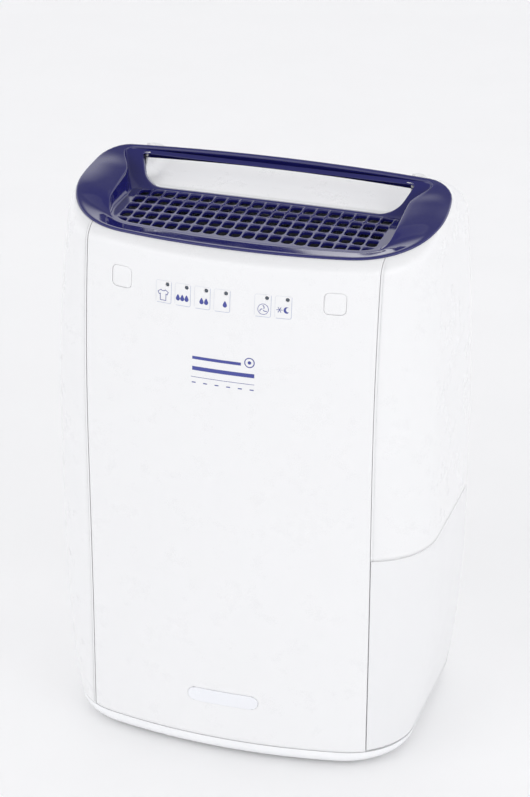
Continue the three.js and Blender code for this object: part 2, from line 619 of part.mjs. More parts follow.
// Intake filter: a slatted frame that fills the window and draws out to the rear, with a net behind it
const frameFront = alongDepth(0.955);
const frameBack = halfDepth - 2.4;
const frameShape = roundedRectangle(2 * windowHalf - 1, windowTop - windowBottom - 1, 7.5);
let filterFrame = plateY(frameShape, 0, windowLevel, frameFront, frameBack, 3);
const slatRows = 9;
const slatColumns = 4;
const slatArea = windowTop - windowBottom - 24;
for (let row = 0; row < slatRows; row += 1) {
  for (let column = 0; column < slatColumns; column += 1) {
    const cellWidth = (2 * windowHalf - 20) / slatColumns;
    const x0 = -windowHalf + 10 + column * cellWidth + 1.6;
    const z0 = windowBottom + 12 + (row * slatArea) / slatRows;
    const z1 = z0 + slatArea / slatRows - 4;
    filterFrame = filterFrame.subtract(block(x0, x0 + cellWidth - 3.2, -far, far, z0, z1));
  }
}
const tabShape = roundedRectangle(34, 6, 2.5);
filterFrame = filterFrame.subtract(plateY(tabShape, 0, windowTop - 6.5, frameBack - 2, far, 2));
addNode('filter_frame', filterFrame, 0xeeefee, 0.4);
const netShape = roundedRectangle(2 * windowHalf - 8, windowTop - windowBottom - 8, 4);
addNode('filter_net', plateY(netShape, 0, windowLevel, frameFront - 2, frameFront - 0.3, 2), 0x9aa0a6, 0.8);

// Fan: scroll housing, wheel, shaft and motor
const scrollFront = alongDepth(0.275);
const scrollBack = alongDepth(0.595);
const fanRadius = Math.min(82, coilHalf - 24);
const scrollShape = new THREE.Shape();
const scrollRadius = fanRadius + 16;
const outletHalf = coilHalf - 8;
const scrollTop = height - 54.5;
scrollShape.moveTo(outletHalf, scrollTop);
scrollShape.lineTo(-outletHalf, scrollTop);
scrollShape.lineTo(-scrollRadius, fanLevel);
scrollShape.absarc(0, fanLevel, scrollRadius, Math.PI, Math.PI * 2, false);
scrollShape.lineTo(outletHalf, scrollTop);
const scrollInner = new THREE.Shape();
const innerEdge = 2.4;
scrollInner.moveTo(outletHalf - innerEdge, far + scrollTop - innerEdge);
scrollInner.lineTo(-outletHalf + innerEdge, far + scrollTop - innerEdge);
scrollInner.lineTo(-outletHalf + innerEdge, scrollTop);
scrollInner.lineTo(-scrollRadius + innerEdge, fanLevel);
scrollInner.absarc(0, fanLevel, scrollRadius - innerEdge, Math.PI, Math.PI * 2, false);
scrollInner.lineTo(outletHalf - innerEdge, scrollTop);
const pushAlongY = (shape, y0, y1, curveSegments) => {
  const geometry = new THREE.ExtrudeGeometry(shape, { depth: y1 - y0, bevelEnabled: false, curveSegments });
  geometry.rotateX(Math.PI / 2);
  geometry.translate(0, y1, 0);
  return toSolid(geometry);
};
let scroll = pushAlongY(scrollShape, scrollFront, scrollBack, 14);
scroll = scroll.subtract(pushAlongY(scrollInner, scrollFront + innerEdge, scrollBack - innerEdge, 14));
scroll = scroll.subtract(roundY(0, fanLevel, scrollBack - 10, scrollBack + 10, fanRadius - 12, 32));
scroll = scroll.subtract(roundY(0, fanLevel, scrollFront - 10, scrollFront + 10, 7, 20));
addNode('fan_scroll', scroll, 0x3a3d42, 0.6);

const wheelFront = scrollFront + innerEdge + 5;
const wheelBack = scrollBack - innerEdge - 5;
let wheel = roundY(0, fanLevel, wheelFront, wheelFront + 2, fanRadius, 28);
const ringOuter = roundY(0, fanLevel, wheelBack - 3, wheelBack, fanRadius, 28);
wheel = wheel.add(ringOuter.subtract(roundY(0, fanLevel, wheelBack - 6, wheelBack + 3, fanRadius - 12, 28)));
for (let i = 0; i < fanBlades; i += 1) {
  const blade = new THREE.BoxGeometry(15, wheelBack - wheelFront - 2, 1.5);
  blade.rotateY(0.6);
  blade.translate(fanRadius - 8, (wheelFront + wheelBack) / 2, 0);
  blade.rotateY((i * Math.PI * 2) / fanBlades);
  blade.translate(0, 0, fanLevel);
  wheel = wheel.add(toSolid(blade));
}
wheel = wheel.intersect(roundY(0, fanLevel, -far, far, fanRadius, 36));
wheel = wheel.add(roundY(0, fanLevel, wheelFront, wheelFront + 16, 11, 20));
wheel = wheel.subtract(roundY(0, fanLevel, wheelFront - 5, wheelFront + 12, 4.1, 16));
addNode('fan_wheel', wheel, 0x22252a, 0.5);
const motorFront = alongDepth(0.135);
const motorBack = scrollFront - 3.4;
addNode('motor_shaft', roundY(0, fanLevel, motorFront + 6, wheelFront + 11, 3.8, 14), 0xa9adb2, 0.3, 0.9);
let motor = roundY(0, fanLevel, motorFront, motorBack, 36, 28);
motor = motor.add(roundY(0, fanLevel, motorFront - 3, motorFront + 3, 14, 20));
motor = motor.subtract(roundY(0, fanLevel, motorFront + 5, motorBack + 5, 4.2, 16));
addNode('fan_motor', motor, 0x7d8288, 0.45, 0.7);
let bracket = roundY(0, fanLevel, motorBack + 0.4, motorBack + 2.6, 44, 28);
bracket = bracket.add(block(-58, 58, motorBack + 0.4, motorBack + 2.6, fanLevel - 9, fanLevel + 9));
bracket = bracket.add(block(-9, 9, motorBack + 0.4, motorBack + 2.6, fanLevel - 58, fanLevel + 58));
bracket = bracket.subtract(roundY(0, fanLevel, motorBack - 5, motorBack + 6, 16, 24));
addNode('motor_bracket', bracket, 0xa4a8ad, 0.45, 0.8);

// Compressor on three rubber bushes, its pipes and its capacitor
const shellLow = panFloor + 12;
const shellHigh = tankTop - 34;
const canTop = shellHigh;
const can = turned([
  [0, shellLow + 4], [34, shellLow + 4], [46, shellLow + 8], [compressorRadius - 3, shellLow + 18],
  [compressorRadius - 3, shellLow + 62], [compressorRadius, shellLow + 64], [compressorRadius, shellLow + 68],
  [compressorRadius - 3, shellLow + 70], [compressorRadius - 3, canTop - 22], [compressorRadius - 12, canTop - 8],
  [26, canTop - 1], [0, canTop],
], compressorX, compressorY, 20);
const footPlateShape = new THREE.Shape();
const plateReach = 54;
[90, 210, 330].forEach((degrees, i) => {
  [-14, 14].forEach((turn) => {
    const angle = ((degrees + turn) * Math.PI) / 180;
    const x = plateReach * Math.cos(angle);
    const y = plateReach * Math.sin(angle);
    if (i === 0 && turn < 0) footPlateShape.moveTo(x, y);
    else footPlateShape.lineTo(x, y);
  });
});
let compressor = can.add(plateZ(footPlateShape, compressorX, compressorY, shellLow + 1, shellLow + 4.4));
mountPlaces.forEach(([x, y]) => {
  compressor = compressor.subtract(roundZ(x, y, shellLow - 2, shellLow + 5.6, 6.4, 12));
});
addNode('compressor', compressor, 0x25272b, 0.35, 0.4);
mountPlaces.forEach(([x, y], i) => {
  const low = roundZ(x, y, panFloor + 4.3, shellLow + 0.7, 9.5, 16, 8.5);
  addNode(`compressor_bush_${i + 1}`, low.add(roundZ(x, y, shellLow, shellLow + 5, 6, 12)), 0x2a2a2c, 0.9);
});

const canUp = canTop + 0.3;
const lowDeck = trayTop + 8;
const suction = pipe([
  [compressorX - 14, compressorY + 20, canUp - 1], [compressorX - 14, compressorY + 20, canUp + 10],
  [compressorX - 30, compressorY + 36, canUp + 18], [-besideCoil, evaporatorFront + 12, canUp + 26],
  [-besideCoil, evaporatorFront + 12, lowDeck + 30], [-besideCoil, evaporatorFront + 12, coilTop - 30],
], pipeRadius, 20);
const discharge = pipe([
  [compressorX + 12, compressorY - 6, canUp], [compressorX + 12, compressorY - 6, canUp + 8],
  [compressorX - 20, compressorY - 2, canUp + 16], [-besideCoil, condenserFront + 4, canUp + 26],
  [-besideCoil, condenserFront + 4, lowDeck + 30], [-besideCoil, condenserFront + 4, coilTop - 60],
], pipeRadius, 20);
const liquidLine = pipe([
  [besideCoil, condenserBack - 8, coilBottom + 20], [besideCoil + 4, condenserBack, coilBottom + 8],
  [besideCoil + 4, evaporatorFront + 6, coilBottom + 12], [besideCoil, evaporatorFront + 10, coilBottom + 30],
], 2, 12, 3);
addNode('suction_pipe', suction, 0xb8703f, 0.3, 0.9);
addNode('discharge_pipe', discharge, 0xb8703f, 0.3, 0.9);
addNode('liquid_line', liquidLine, 0xb8703f, 0.3, 0.9);
const capacitorX = compressorX + compressorRadius + 30;
const capacitorY = alongDepth(0.2);
const capacitor = roundZ(capacitorX, capacitorY, panFloor + 0.4, panFloor + 72, 17, 24).add(
  roundZ(capacitorX, capacitorY, panFloor + 70, panFloor + 76, 6, 12),
);
addNode('run_capacitor', capacitor, 0xd7d9db, 0.4, 0.3);

// Small fittings at the back
const backFace = halfDepth - skinInset(glandLevel).rear;
let gland = roundY(glandX, glandLevel, backFace - 6, backFace - 0.1, 8, 14);
gland = gland.add(roundY(glandX, glandLevel, backFace - wall - 3, backFace - wall - 0.4, 11, 14));
gland = gland.subtract(roundY(glandX, glandLevel, backFace - 20, backFace + 10, 4.2, 12));
addNode('cord_gland', gland, 0x2c2d30, 0.7);
const drainFace = halfDepth - skinInset(drainLevel).rear;
let spout = roundY(drainX, drainLevel, drainFace - 22, drainFace - 2.6, 8, 14);
spout = spout.add(roundY(drainX, drainLevel, drainFace - wall - 3, drainFace - wall - 0.4, 11, 14));
spout = spout.subtract(roundY(drainX, drainLevel, drainFace - 18, drainFace + 10, 5.4, 12));
addNode('drain_spout', spout, 0xe4e6e8, 0.45);
let plug = roundY(drainX, drainLevel, drainFace - 14, drainFace - 2, 5, 16);
plug = plug.add(roundY(drainX, drainLevel, drainFace - 2.2, drainFace - 0.1, 7.6, 20));
plug = plug.add(block(drainX - 1.2, drainX + 1.2, drainFace - 1, drainFace - 0.05, drainLevel - 6, drainLevel + 6));
addNode('drain_plug', plug, 0x33363b, 0.85);
screwPlaces.forEach(([x, z], i) => {
  const face = halfDepth - skinInset(z).rear;
  let screw = roundY(x, z, halfDepth - 3.3, Math.min(face - 0.4, halfDepth - 1.2), 4.1, 12);
  screw = screw.add(roundY(x, z, halfDepth - 15, halfDepth - 2, 2, 8));
  screw = screw.subtract(block(x - 0.5, x + 0.5, halfDepth - 2.4, halfDepth + 5, z - 2.6, z + 2.6));
  addNode(`rear_screw_${i + 1}`, screw, 0x8d9196, 0.35, 0.9);
});
const probe = block(-coilHalf - 8, -coilHalf + 6, alongDepth(0.895), alongDepth(0.945), coilTop - 30, coilTop - 8);
addNode('humidity_sensor', probe, 0x3c6fa0, 0.5);

export default group;
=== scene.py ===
from math import radians

import bmesh
import bpy
import numpy as np
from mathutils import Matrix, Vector


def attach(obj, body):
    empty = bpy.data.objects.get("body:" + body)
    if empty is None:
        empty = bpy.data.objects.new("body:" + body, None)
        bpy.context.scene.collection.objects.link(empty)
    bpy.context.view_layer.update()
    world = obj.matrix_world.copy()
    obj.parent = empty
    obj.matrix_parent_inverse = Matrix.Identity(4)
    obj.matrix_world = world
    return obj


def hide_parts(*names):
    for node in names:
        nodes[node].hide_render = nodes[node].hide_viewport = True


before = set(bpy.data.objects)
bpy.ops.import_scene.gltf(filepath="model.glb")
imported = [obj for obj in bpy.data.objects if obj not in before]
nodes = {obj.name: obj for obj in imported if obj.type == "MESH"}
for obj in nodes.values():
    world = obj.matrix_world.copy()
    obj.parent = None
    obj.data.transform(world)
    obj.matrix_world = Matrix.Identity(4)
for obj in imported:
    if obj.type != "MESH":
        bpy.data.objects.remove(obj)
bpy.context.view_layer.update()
pi = np.pi

# Shared sizes of the body, in millimetres; every mesh is turned to metres when it is made
body = {
    "halfWidth": 168.0, "halfDepth": 109.5, "height": 500.0, "foot": 4.0, "shellBottom": 16.5,
    "fold": 457.0, "tankRear": 70.0, "cheekHalf": 118.2, "seatDrop": 1.9,
    "frontBow": 500.0, "corner": 60.0, "rearCorner": 44.0,
    "trimHalf": 158.5, "trimFront": -79.4, "trimRear": 49.6, "trimBow": 690.0, "trimCorner": 72.0,
    "trimRearCorner": 20.0,
    "creaseHalf": 123.0, "creaseFront": -60.0, "creaseRear": 46.0,
    "floorHalf": 118.0, "floorFront": -57.0, "floorRear": 17.6,
    "ledge": 469.0,
}


# Small helpers

def smooth(t):
    # eases from 0 to 1: three t squared less two t cubed
    t = np.clip(t, 0, 1)
    return t * t * (3 - 2 * t)


def mix(a, b, t):
    return a + (b - a) * t


def gridFaces(rows, columns, wrapRows=False, wrapColumns=False, keep=None):
    # quads over a grid of points numbered row by row; keep is a mask over the cells
    r = np.arange(rows if wrapRows else rows - 1)
    c = np.arange(columns if wrapColumns else columns - 1)
    rr, cc = np.meshgrid(r, c, indexing="ij")
    r2, c2 = (rr + 1) % rows, (cc + 1) % columns
    quads = np.stack([rr * columns + cc, rr * columns + c2, r2 * columns + c2, r2 * columns + cc], -1)
    return quads[keep] if keep is not None else quads.reshape(-1, 4)


def makePiece(name, points, quads, materialName, bodyName="cabinet", slotName=None, replaced=(), tris=None,
              sharp=35, merge=False, inside=(0.0, 0.0, 250.0)):
    # one mesh piece from points in millimetres; merge welds the touching rows of its patches together,
    # and inside is a point that the faces look away from
    mesh = bpy.data.meshes.new(name)
    allFaces = [f for f in np.asarray(quads).tolist()]
    if tris is not None and len(tris):
        allFaces += np.asarray(tris).tolist()
    mesh.from_pydata((np.asarray(points, float) * 0.001).tolist(), [], allFaces)
    mesh.update()
    obj = bpy.data.objects.new(name, mesh)
    bpy.context.scene.collection.objects.link(obj)
    if merge:
        bm = bmesh.new()
        bm.from_mesh(mesh)
        bmesh.ops.remove_doubles(bm, verts=bm.verts, dist=2e-6)
        bmesh.ops.dissolve_degenerate(bm, edges=bm.edges, dist=1e-7)
        bmesh.ops.recalc_face_normals(bm, faces=bm.faces)
        middle = Vector(inside) * 0.001
        if sum(f.calc_area() * f.normal.dot(f.calc_center_median() - middle) for f in bm.faces) < 0:
            bmesh.ops.reverse_faces(bm, faces=bm.faces)
        bm.to_mesh(mesh)
        bm.free()
    smoothAll(obj, sharp)
    mesh.materials.append(materials[materialName])
    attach(obj, bodyName)
    if replaced:
        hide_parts(*replaced)
    return obj


def smoothAll(obj, sharp):
    # smooth faces, with edges sharper than the given angle left crisp
    mesh = obj.data
    mesh.polygons.foreach_set("use_smooth", np.ones(len(mesh.polygons), bool))
    mesh.set_sharp_from_angle(angle=radians(sharp))


def solidify(obj, thickness, offset=-1.0):
    wall = obj.modifiers.new("wall", "SOLIDIFY")
    wall.thickness = thickness * 0.001
    wall.offset = offset
    wall.use_even_offset = False


class Parts:
    # gathers points and faces of several surfaces, so that they become one piece
    def __init__(self):
        self.points, self.quads, self.tris, self.count = [], [], [], 0

    def add(self, points, quads=None, tris=None):
        points = np.asarray(points, float).reshape(-1, 3)
        if quads is not None and len(quads):
            self.quads.append(np.asarray(quads) + self.count)
        if tris is not None and len(tris):
            self.tris.append(np.asarray(tris) + self.count)
        self.points.append(points)
        self.count += len(points)

    def piece(self, name, materialName, **more):
        quads = np.concatenate(self.quads) if self.quads else np.zeros((0, 4), int)
        tris = np.concatenate(self.tris) if self.tris else None
        return makePiece(name, np.concatenate(self.points), quads, materialName, tris=tris, **more)


# Body formulas

def skinInset(z):
    # how far the skin stands in from its widest size: a power curve below two fifths of the height,
    # a square curve above the middle, and a quarter round under the bottom edge
    z = np.asarray(z, float)
    low = np.maximum(0, (200 - z) / 200) ** 2.7
    high = np.maximum(0, (z - 280) / 177) ** 2
    curl = np.clip((body["foot"] + 9 - z) / 9, 0, 1)
    under = 9 * (1 - np.sqrt(1 - curl * curl))
    return 17.5 * low + 8 * high + under, 5.9 * (1 - low) + 12.2 * high + under, 1.5 * low + 1.5 * high + under


def skinSizes(z, inset=0.0):
    side, front, rear = skinInset(z)
    half = body["halfWidth"] - side - inset
    return (half, -body["halfDepth"] + front + inset, body["halfDepth"] - rear - inset,
            body["frontBow"] - inset + 0 * half, body["corner"] - inset + 0 * half,
            np.minimum(body["rearCorner"] - inset, half - 118.6))


def frontEdge(x, half, front, bow, corner):
    # the front of a plan outline at x: a shallow arc in the middle, a corner arc past where the two meet
    cornerX = half - corner
    centre = front + bow
    cornerY = centre - np.sqrt((bow - corner) ** 2 - cornerX ** 2)
    meet = bow * cornerX / (bow - corner)
    onBow = centre - np.sqrt(np.maximum(0, bow ** 2 - x ** 2))
    onCorner = cornerY - np.sqrt(np.maximum(0, corner ** 2 - np.maximum(0, np.abs(x) - cornerX) ** 2))
    return np.where(np.abs(x) <= meet, onBow, onCorner)


def trimPlane(y, x=0.0):
    # the height of the top trim: level at the front, rising more and more steeply to the back,
    # where it also arches up in the middle by the square of x
    share = np.clip((y - body["trimFront"]) / 129.0, 0, 1.02)
    return body["height"] - 0.2 - 32.3 * (1 - share ** 1.22) - 3.6 * (x / 130.0) ** 2 * smooth((y + 25) / 65)


def narrowing(y):
    return 1 - 0.05 * np.maximum(0, y / body["trimRear"]) ** 2


def coverSurface(x, z):
    # the front skin over x and z up to the fold
    half, front, rear, bow, corner, rearCorner = skinSizes(z)
    return frontEdge(x, half, front, bow, corner)


def wrapOutline(half, front, rear, bow, corner, rearCorner, startX, rearY, midX, parts):
    # the plan outline from startX on the right front corner round the back to x = 0: corner arc, straight side,
    # rear corner in two parts that meet at rearY, and the rear in two parts that meet at midX
    col = lambda v: np.atleast_1d(np.asarray(v, float))[:, None]
    half, front, rear, bow, corner, rearCorner = map(col, (half, front, rear, bow, corner, rearCorner))
    startX, rearY, midX = map(col, (startX, rearY, midX))
    cornerX = half - corner
    centre = front + bow
    cornerY = centre - np.sqrt((bow - corner) ** 2 - cornerX ** 2)
    step = lambda n: (np.arange(n) / n)[None, :]
    first = -np.arccos(np.clip((startX - cornerX) / corner, -1, 1))
    a = first * (1 - step(parts[0]))
    xs = [cornerX + corner * np.cos(a)]
    ys = [cornerY + corner * np.sin(a)]
    sideEnd = rear - rearCorner
    xs.append(half + 0 * step(parts[1]))
    ys.append(mix(cornerY, sideEnd, step(parts[1])))
    meet = np.arcsin(np.clip((rearY - sideEnd) / rearCorner, 0.01, 0.95))
    for low, high, n in ((0 * meet, meet, parts[2]), (meet, 0 * meet + pi / 2, parts[3])):
        a = mix(low, high, step(n))
        xs.append(half - rearCorner + rearCorner * np.cos(a))
        ys.append(sideEnd + rearCorner * np.sin(a))
    xs.append(mix(half - rearCorner, midX, step(parts[4])))
    ys.append(rear + 0 * xs[-1])
    xs.append(mix(midX, 0 * midX, (np.arange(parts[5] + 1) / parts[5])[None, :]))
    ys.append(rear + 0 * xs[-1])
    shape = np.broadcast_shapes(half.shape, (half.shape[0], 1))
    x = np.concatenate([np.broadcast_to(v, (shape[0], v.shape[1])) for v in xs], 1)
    y = np.concatenate([np.broadcast_to(v, (shape[0], v.shape[1])) for v in ys], 1)
    return x, y


def closedOutline(half, front, rear, bow, corner, rearCorner, parts):
    # a whole plan outline, starting at the left end of the bow
    col = lambda v: np.atleast_1d(np.asarray(v, float))[:, None]
    half, front, rear, bow, corner, rearCorner = map(col, (half, front, rear, bow, corner, rearCorner))
    cornerX = half - corner
    centre = front + bow
    cornerY = centre - np.sqrt((bow - corner) ** 2 - cornerX ** 2)
    turn = np.arctan2(cornerX, centre - cornerY)
    step = lambda n: (np.arange(n) / n)[None, :]
    a = turn * (2 * step(parts[0]) - 1)
    xs, ys = [bow * np.sin(a)], [centre - bow * np.cos(a)]

    def arc(x, y, radius, low, high, n):
        a = mix(low, high, step(n))
        xs.append(x + radius * np.cos(a))
        ys.append(y + radius * np.sin(a))

    def line(x0, y0, x1, y1, n):
        xs.append(mix(x0, x1, step(n)))
        ys.append(mix(y0, y1, step(n)))

    arc(cornerX, cornerY, corner, turn - pi / 2, 0 * turn, parts[1])
    line(half, cornerY, half, rear - rearCorner, parts[2])
    arc(half - rearCorner, rear - rearCorner, rearCorner, 0 * turn, 0 * turn + pi / 2, parts[3])
    line(half - rearCorner, rear, rearCorner - half, rear, parts[4])
    arc(rearCorner - half, rear - rearCorner, rearCorner, 0 * turn + pi / 2, 0 * turn + pi, parts[3])
    line(-half, rear - rearCorner, -half, cornerY, parts[2])
    arc(-cornerX, cornerY, corner, 0 * turn + pi, 1.5 * pi - turn, parts[1])
    n = half.shape[0]
    return (np.concatenate([np.broadcast_to(v, (n, v.shape[1])) for v in xs], 1),
            np.concatenate([np.broadcast_to(v, (n, v.shape[1])) for v in ys], 1))


def crownPoint(foldX, foldY, topX, topY, t, foldZ, topZ):
    # the shoulder between the fold and the trim: a three-point curve that leaves the fold upwards
    away, up = 2 * t * (1 - t) * 0.10 + t * t, 2 * t * (1 - t) * 0.62 + t * t
    return mix(foldX, topX, away), mix(foldY, topY, away), mix(foldZ, topZ, up)


def roundedLoop(angles, halfX, halfZ, radius):
    # where a ray at each angle from the middle meets a rounded rectangle, found by halving
    dx, dz = np.cos(angles), np.sin(angles)
    low, high = np.zeros_like(angles), np.full_like(angles, halfX + halfZ)
    for step in range(40):
        t = (low + high) / 2
        qx, qz = np.abs(t * dx) - halfX + radius, np.abs(t * dz) - halfZ + radius
        outside = np.hypot(np.maximum(qx, 0), np.maximum(qz, 0)) + np.minimum(np.maximum(qx, qz), 0) > radius
        high, low = np.where(outside, t, high), np.where(outside, low, t)
    return low * dx, low * dz


def linesBetween(breaks, spacing):
    # grid lines through all the given breaks, no further apart than the spacing
    breaks = sorted(set(np.round(breaks, 4)))
    out = [np.linspace(a, b, max(1, int(np.ceil((b - a) / spacing))) + 1)[:-1] for a, b in zip(breaks[:-1], breaks[1:])]
    return np.concatenate(out + [np.array([breaks[-1]])])


# Materials

def group(name, inputs, outputs):
    tree = bpy.data.node_groups.new(name, "ShaderNodeTree")
    for label, kind, value in inputs:
        socket = tree.interface.new_socket(name=label, in_out="INPUT", socket_type="NodeSocket" + kind)
        if value is not None:
            socket.default_value = value
    for label, kind in outputs:
        tree.interface.new_socket(name=label, in_out="OUTPUT", socket_type="NodeSocket" + kind)
    return tree, tree.nodes.new("NodeGroupInput"), tree.nodes.new("NodeGroupOutput")


def noise(tree, vector, scale, detail=3.0, roughness=0.55):
    node = tree.nodes.new("ShaderNodeTexNoise")
    node.inputs["Detail"].default_value = detail
    node.inputs["Roughness"].default_value = roughness
    tree.links.new(vector, node.inputs["Vector"])
    if isinstance(scale, float):
        node.inputs["Scale"].default_value = scale
    else:
        tree.links.new(scale, node.inputs["Scale"])
    return node.outputs["Fac"]


def span(tree, value, low, high, toLow=0.0, toHigh=1.0):
    # carries a value from one range to another and holds it there
    node = tree.nodes.new("ShaderNodeMapRange")
    tree.links.new(value, node.inputs["Value"])
    for label, v in (("From Min", low), ("From Max", high), ("To Min", toLow), ("To Max", toHigh)):
        if isinstance(v, (int, float)):
            node.inputs[label].default_value = v
        else:
            tree.links.new(v, node.inputs[label])
    return node.outputs["Result"]


def blendColour(tree, factor, a, b, kind="MIX"):
    node = tree.nodes.new("ShaderNodeMix")
    node.data_type = "RGBA"
    node.blend_type = kind
    for socket, v in ((node.inputs[0], factor), (node.inputs[6], a), (node.inputs[7], b)):
        if isinstance(v, (int, float)):
            socket.default_value = v
        elif isinstance(v, (tuple, list)):
            socket.default_value = (*v[:3], 1.0)
        else:
            tree.links.new(v, socket)
    return node.outputs[2]


def maths(tree, kind, a, b=0.5):
    node = tree.nodes.new("ShaderNodeMath")
    node.operation = kind
    for socket, v in ((node.inputs[0], a), (node.inputs[1], b)):
        if isinstance(v, (int, float)):
            socket.default_value = v
        else:
            tree.links.new(v, socket)
    return node.outputs[0]


# moulded skin: cloudy tone, fine moulding grain and slow waves, in the piece's own coordinates
mouldGroup, gin, gout = group("mouldedSkin", [
    ("Vector", "Vector", None), ("Colour", "Color", (0.9, 0.9, 0.9, 1)), ("Shade", "Color", (0.8, 0.8, 0.8, 1)),
    ("Grain Scale", "Float", 1600.0), ("Rough Low", "Float", 0.25), ("Rough High", "Float", 0.4),
], [("Color", "Color"), ("Roughness", "Float"), ("Height", "Float")])
cloud = noise(mouldGroup, gin.outputs["Vector"], 9.0, 4.0)
streak = noise(mouldGroup, gin.outputs["Vector"], 46.0, 2.0)
grain = noise(mouldGroup, gin.outputs["Vector"], gin.outputs["Grain Scale"], 1.0)
cloudMask = span(mouldGroup, cloud, 0.35, 0.7)
toned = blendColour(mouldGroup, cloudMask, gin.outputs["Colour"], gin.outputs["Shade"])
mouldGroup.links.new(toned, gout.inputs["Color"])
roughMix = maths(mouldGroup, "ADD", maths(mouldGroup, "MULTIPLY", streak, 0.6),
                 maths(mouldGroup, "MULTIPLY", grain, 0.4))
mouldGroup.links.new(span(mouldGroup, roughMix, 0.35, 0.65, gin.outputs["Rough Low"], gin.outputs["Rough High"]),
                     gout.inputs["Roughness"])
mouldGroup.links.new(grain, gout.inputs["Height"])

# settled dust: a thin pale film on faces that look up, broken up by noise
dustGroup, din, dout = group("settledDust", [
    ("Vector", "Vector", None), ("Colour", "Color", (0.9, 0.9, 0.9, 1)), ("Dust", "Color", (0.55, 0.53, 0.5, 1)),
    ("Amount", "Float", 0.15), ("Roughness", "Float", 0.3),
], [("Color", "Color"), ("Roughness", "Float"), ("Mask", "Float")])
facing = dustGroup.nodes.new("ShaderNodeNewGeometry")
split = dustGroup.nodes.new("ShaderNodeSeparateXYZ")
dustGroup.links.new(facing.outputs["Normal"], split.inputs[0])
up = span(dustGroup, split.outputs["Z"], 0.55, 1.0)
spots = span(dustGroup, noise(dustGroup, din.outputs["Vector"], 130.0, 5.0, 0.7), 0.42, 0.72)
film = maths(dustGroup, "MULTIPLY", maths(dustGroup, "MULTIPLY", up, spots), din.outputs["Amount"])
dustGroup.links.new(blendColour(dustGroup, film, din.outputs["Colour"], din.outputs["Dust"]), dout.inputs["Color"])
dustGroup.links.new(maths(dustGroup, "ADD", din.outputs["Roughness"], maths(dustGroup, "MULTIPLY", film, 0.5)),
                    dout.inputs["Roughness"])
dustGroup.links.new(film, dout.inputs["Mask"])

# drawn metal: long fine scratches along one axis and dull patches
metalGroup, metalIn, mout = group("drawnMetal", [
    ("Vector", "Vector", None), ("Stretch", "Vector", (400.0, 400.0, 12.0)), ("Bright", "Color", (0.7, 0.7, 0.7, 1)),
    ("Dull", "Color", (0.5, 0.5, 0.5, 1)), ("Rough Low", "Float", 0.2), ("Rough High", "Float", 0.45),
], [("Color", "Color"), ("Roughness", "Float"), ("Height", "Float")])
stretch = metalGroup.nodes.new("ShaderNodeVectorMath")
stretch.operation = "MULTIPLY"
metalGroup.links.new(metalIn.outputs["Vector"], stretch.inputs[0])
metalGroup.links.new(metalIn.outputs["Stretch"], stretch.inputs[1])
scratch = noise(metalGroup, stretch.outputs[0], 1.0, 5.0, 0.6)
patch = span(metalGroup, noise(metalGroup, metalIn.outputs["Vector"], 38.0, 4.0), 0.4, 0.68)
dulled = blendColour(metalGroup, patch, metalIn.outputs["Bright"], metalIn.outputs["Dull"])
metalGroup.links.new(dulled, mout.inputs["Color"])
metalGroup.links.new(span(metalGroup, scratch, 0.3, 0.7, metalIn.outputs["Rough Low"], metalIn.outputs["Rough High"]),
                     mout.inputs["Roughness"])
metalGroup.links.new(scratch, mout.inputs["Height"])

materials = {}


def startMaterial(name):
    material = bpy.data.materials.new(name)
    material.use_nodes = True
    tree = material.node_tree
    shader = tree.nodes["Principled BSDF"]
    place = tree.nodes.new("ShaderNodeTexCoord")
    materials[name] = material
    return tree, shader, place.outputs["Object"]


def useGroup(tree, kind, **values):
    node = tree.nodes.new("ShaderNodeGroup")
    node.node_tree = kind
    for label, v in values.items():
        socket = node.inputs[label.replace("_", " ")]
        if isinstance(v, bpy.types.NodeSocket):
            tree.links.new(v, socket)
        elif isinstance(v, (tuple, list)) and socket.type == "RGBA":
            socket.default_value = (*v[:3], 1.0)
        else:
            socket.default_value = v
    return node


def bump(tree, height, shader, strength, distance):
    node = tree.nodes.new("ShaderNodeBump")
    node.inputs["Strength"].default_value = strength
    node.inputs["Distance"].default_value = distance
    tree.links.new(height, node.inputs["Height"])
    tree.links.new(node.outputs["Normal"], shader.inputs["Normal"])


def plastic(name, colour, shade, rough=(0.25, 0.36), grain=1500.0, strength=0.06, dust=0.1, coat=0.0, ior=1.49,
            transmission=0.0, subsurface=0.0, dustColour=(0.5, 0.48, 0.45)):
    # a moulded plastic: cloudy tone, fine grain, a little dust on the faces that look up
    tree, shader, place = startMaterial(name)
    skin = useGroup(tree, mouldGroup, Vector=place, Colour=colour, Shade=shade, Grain_Scale=grain,
                    Rough_Low=rough[0], Rough_High=rough[1])
    film = useGroup(tree, dustGroup, Vector=place, Colour=skin.outputs["Color"], Dust=dustColour, Amount=dust,
                    Roughness=skin.outputs["Roughness"])
    tree.links.new(film.outputs["Color"], shader.inputs["Base Color"])
    tree.links.new(film.outputs["Roughness"], shader.inputs["Roughness"])
    bump(tree, skin.outputs["Height"], shader, strength, 0.0002)
    shader.inputs["IOR"].default_value = ior
    shader.inputs["Coat Weight"].default_value = coat
    shader.inputs["Coat Roughness"].default_value = 0.04
    shader.inputs["Transmission Weight"].default_value = transmission
    shader.inputs["Subsurface Weight"].default_value = subsurface
    shader.inputs["Subsurface Scale"].default_value = 0.002
    return tree, shader


def metal(name, bright, dull, rough=(0.2, 0.42), stretch=(400.0, 400.0, 12.0), strength=0.15):
    tree, shader, place = startMaterial(name)
    drawn = useGroup(tree, metalGroup, Vector=place, Stretch=stretch, Bright=bright, Dull=dull,
                     Rough_Low=rough[0], Rough_High=rough[1])
    tree.links.new(drawn.outputs["Color"], shader.inputs["Base Color"])
    tree.links.new(drawn.outputs["Roughness"], shader.inputs["Roughness"])
    shader.inputs["Metallic"].default_value = 1.0
    bump(tree, drawn.outputs["Height"], shader, strength, 0.0002)
    return tree, shader


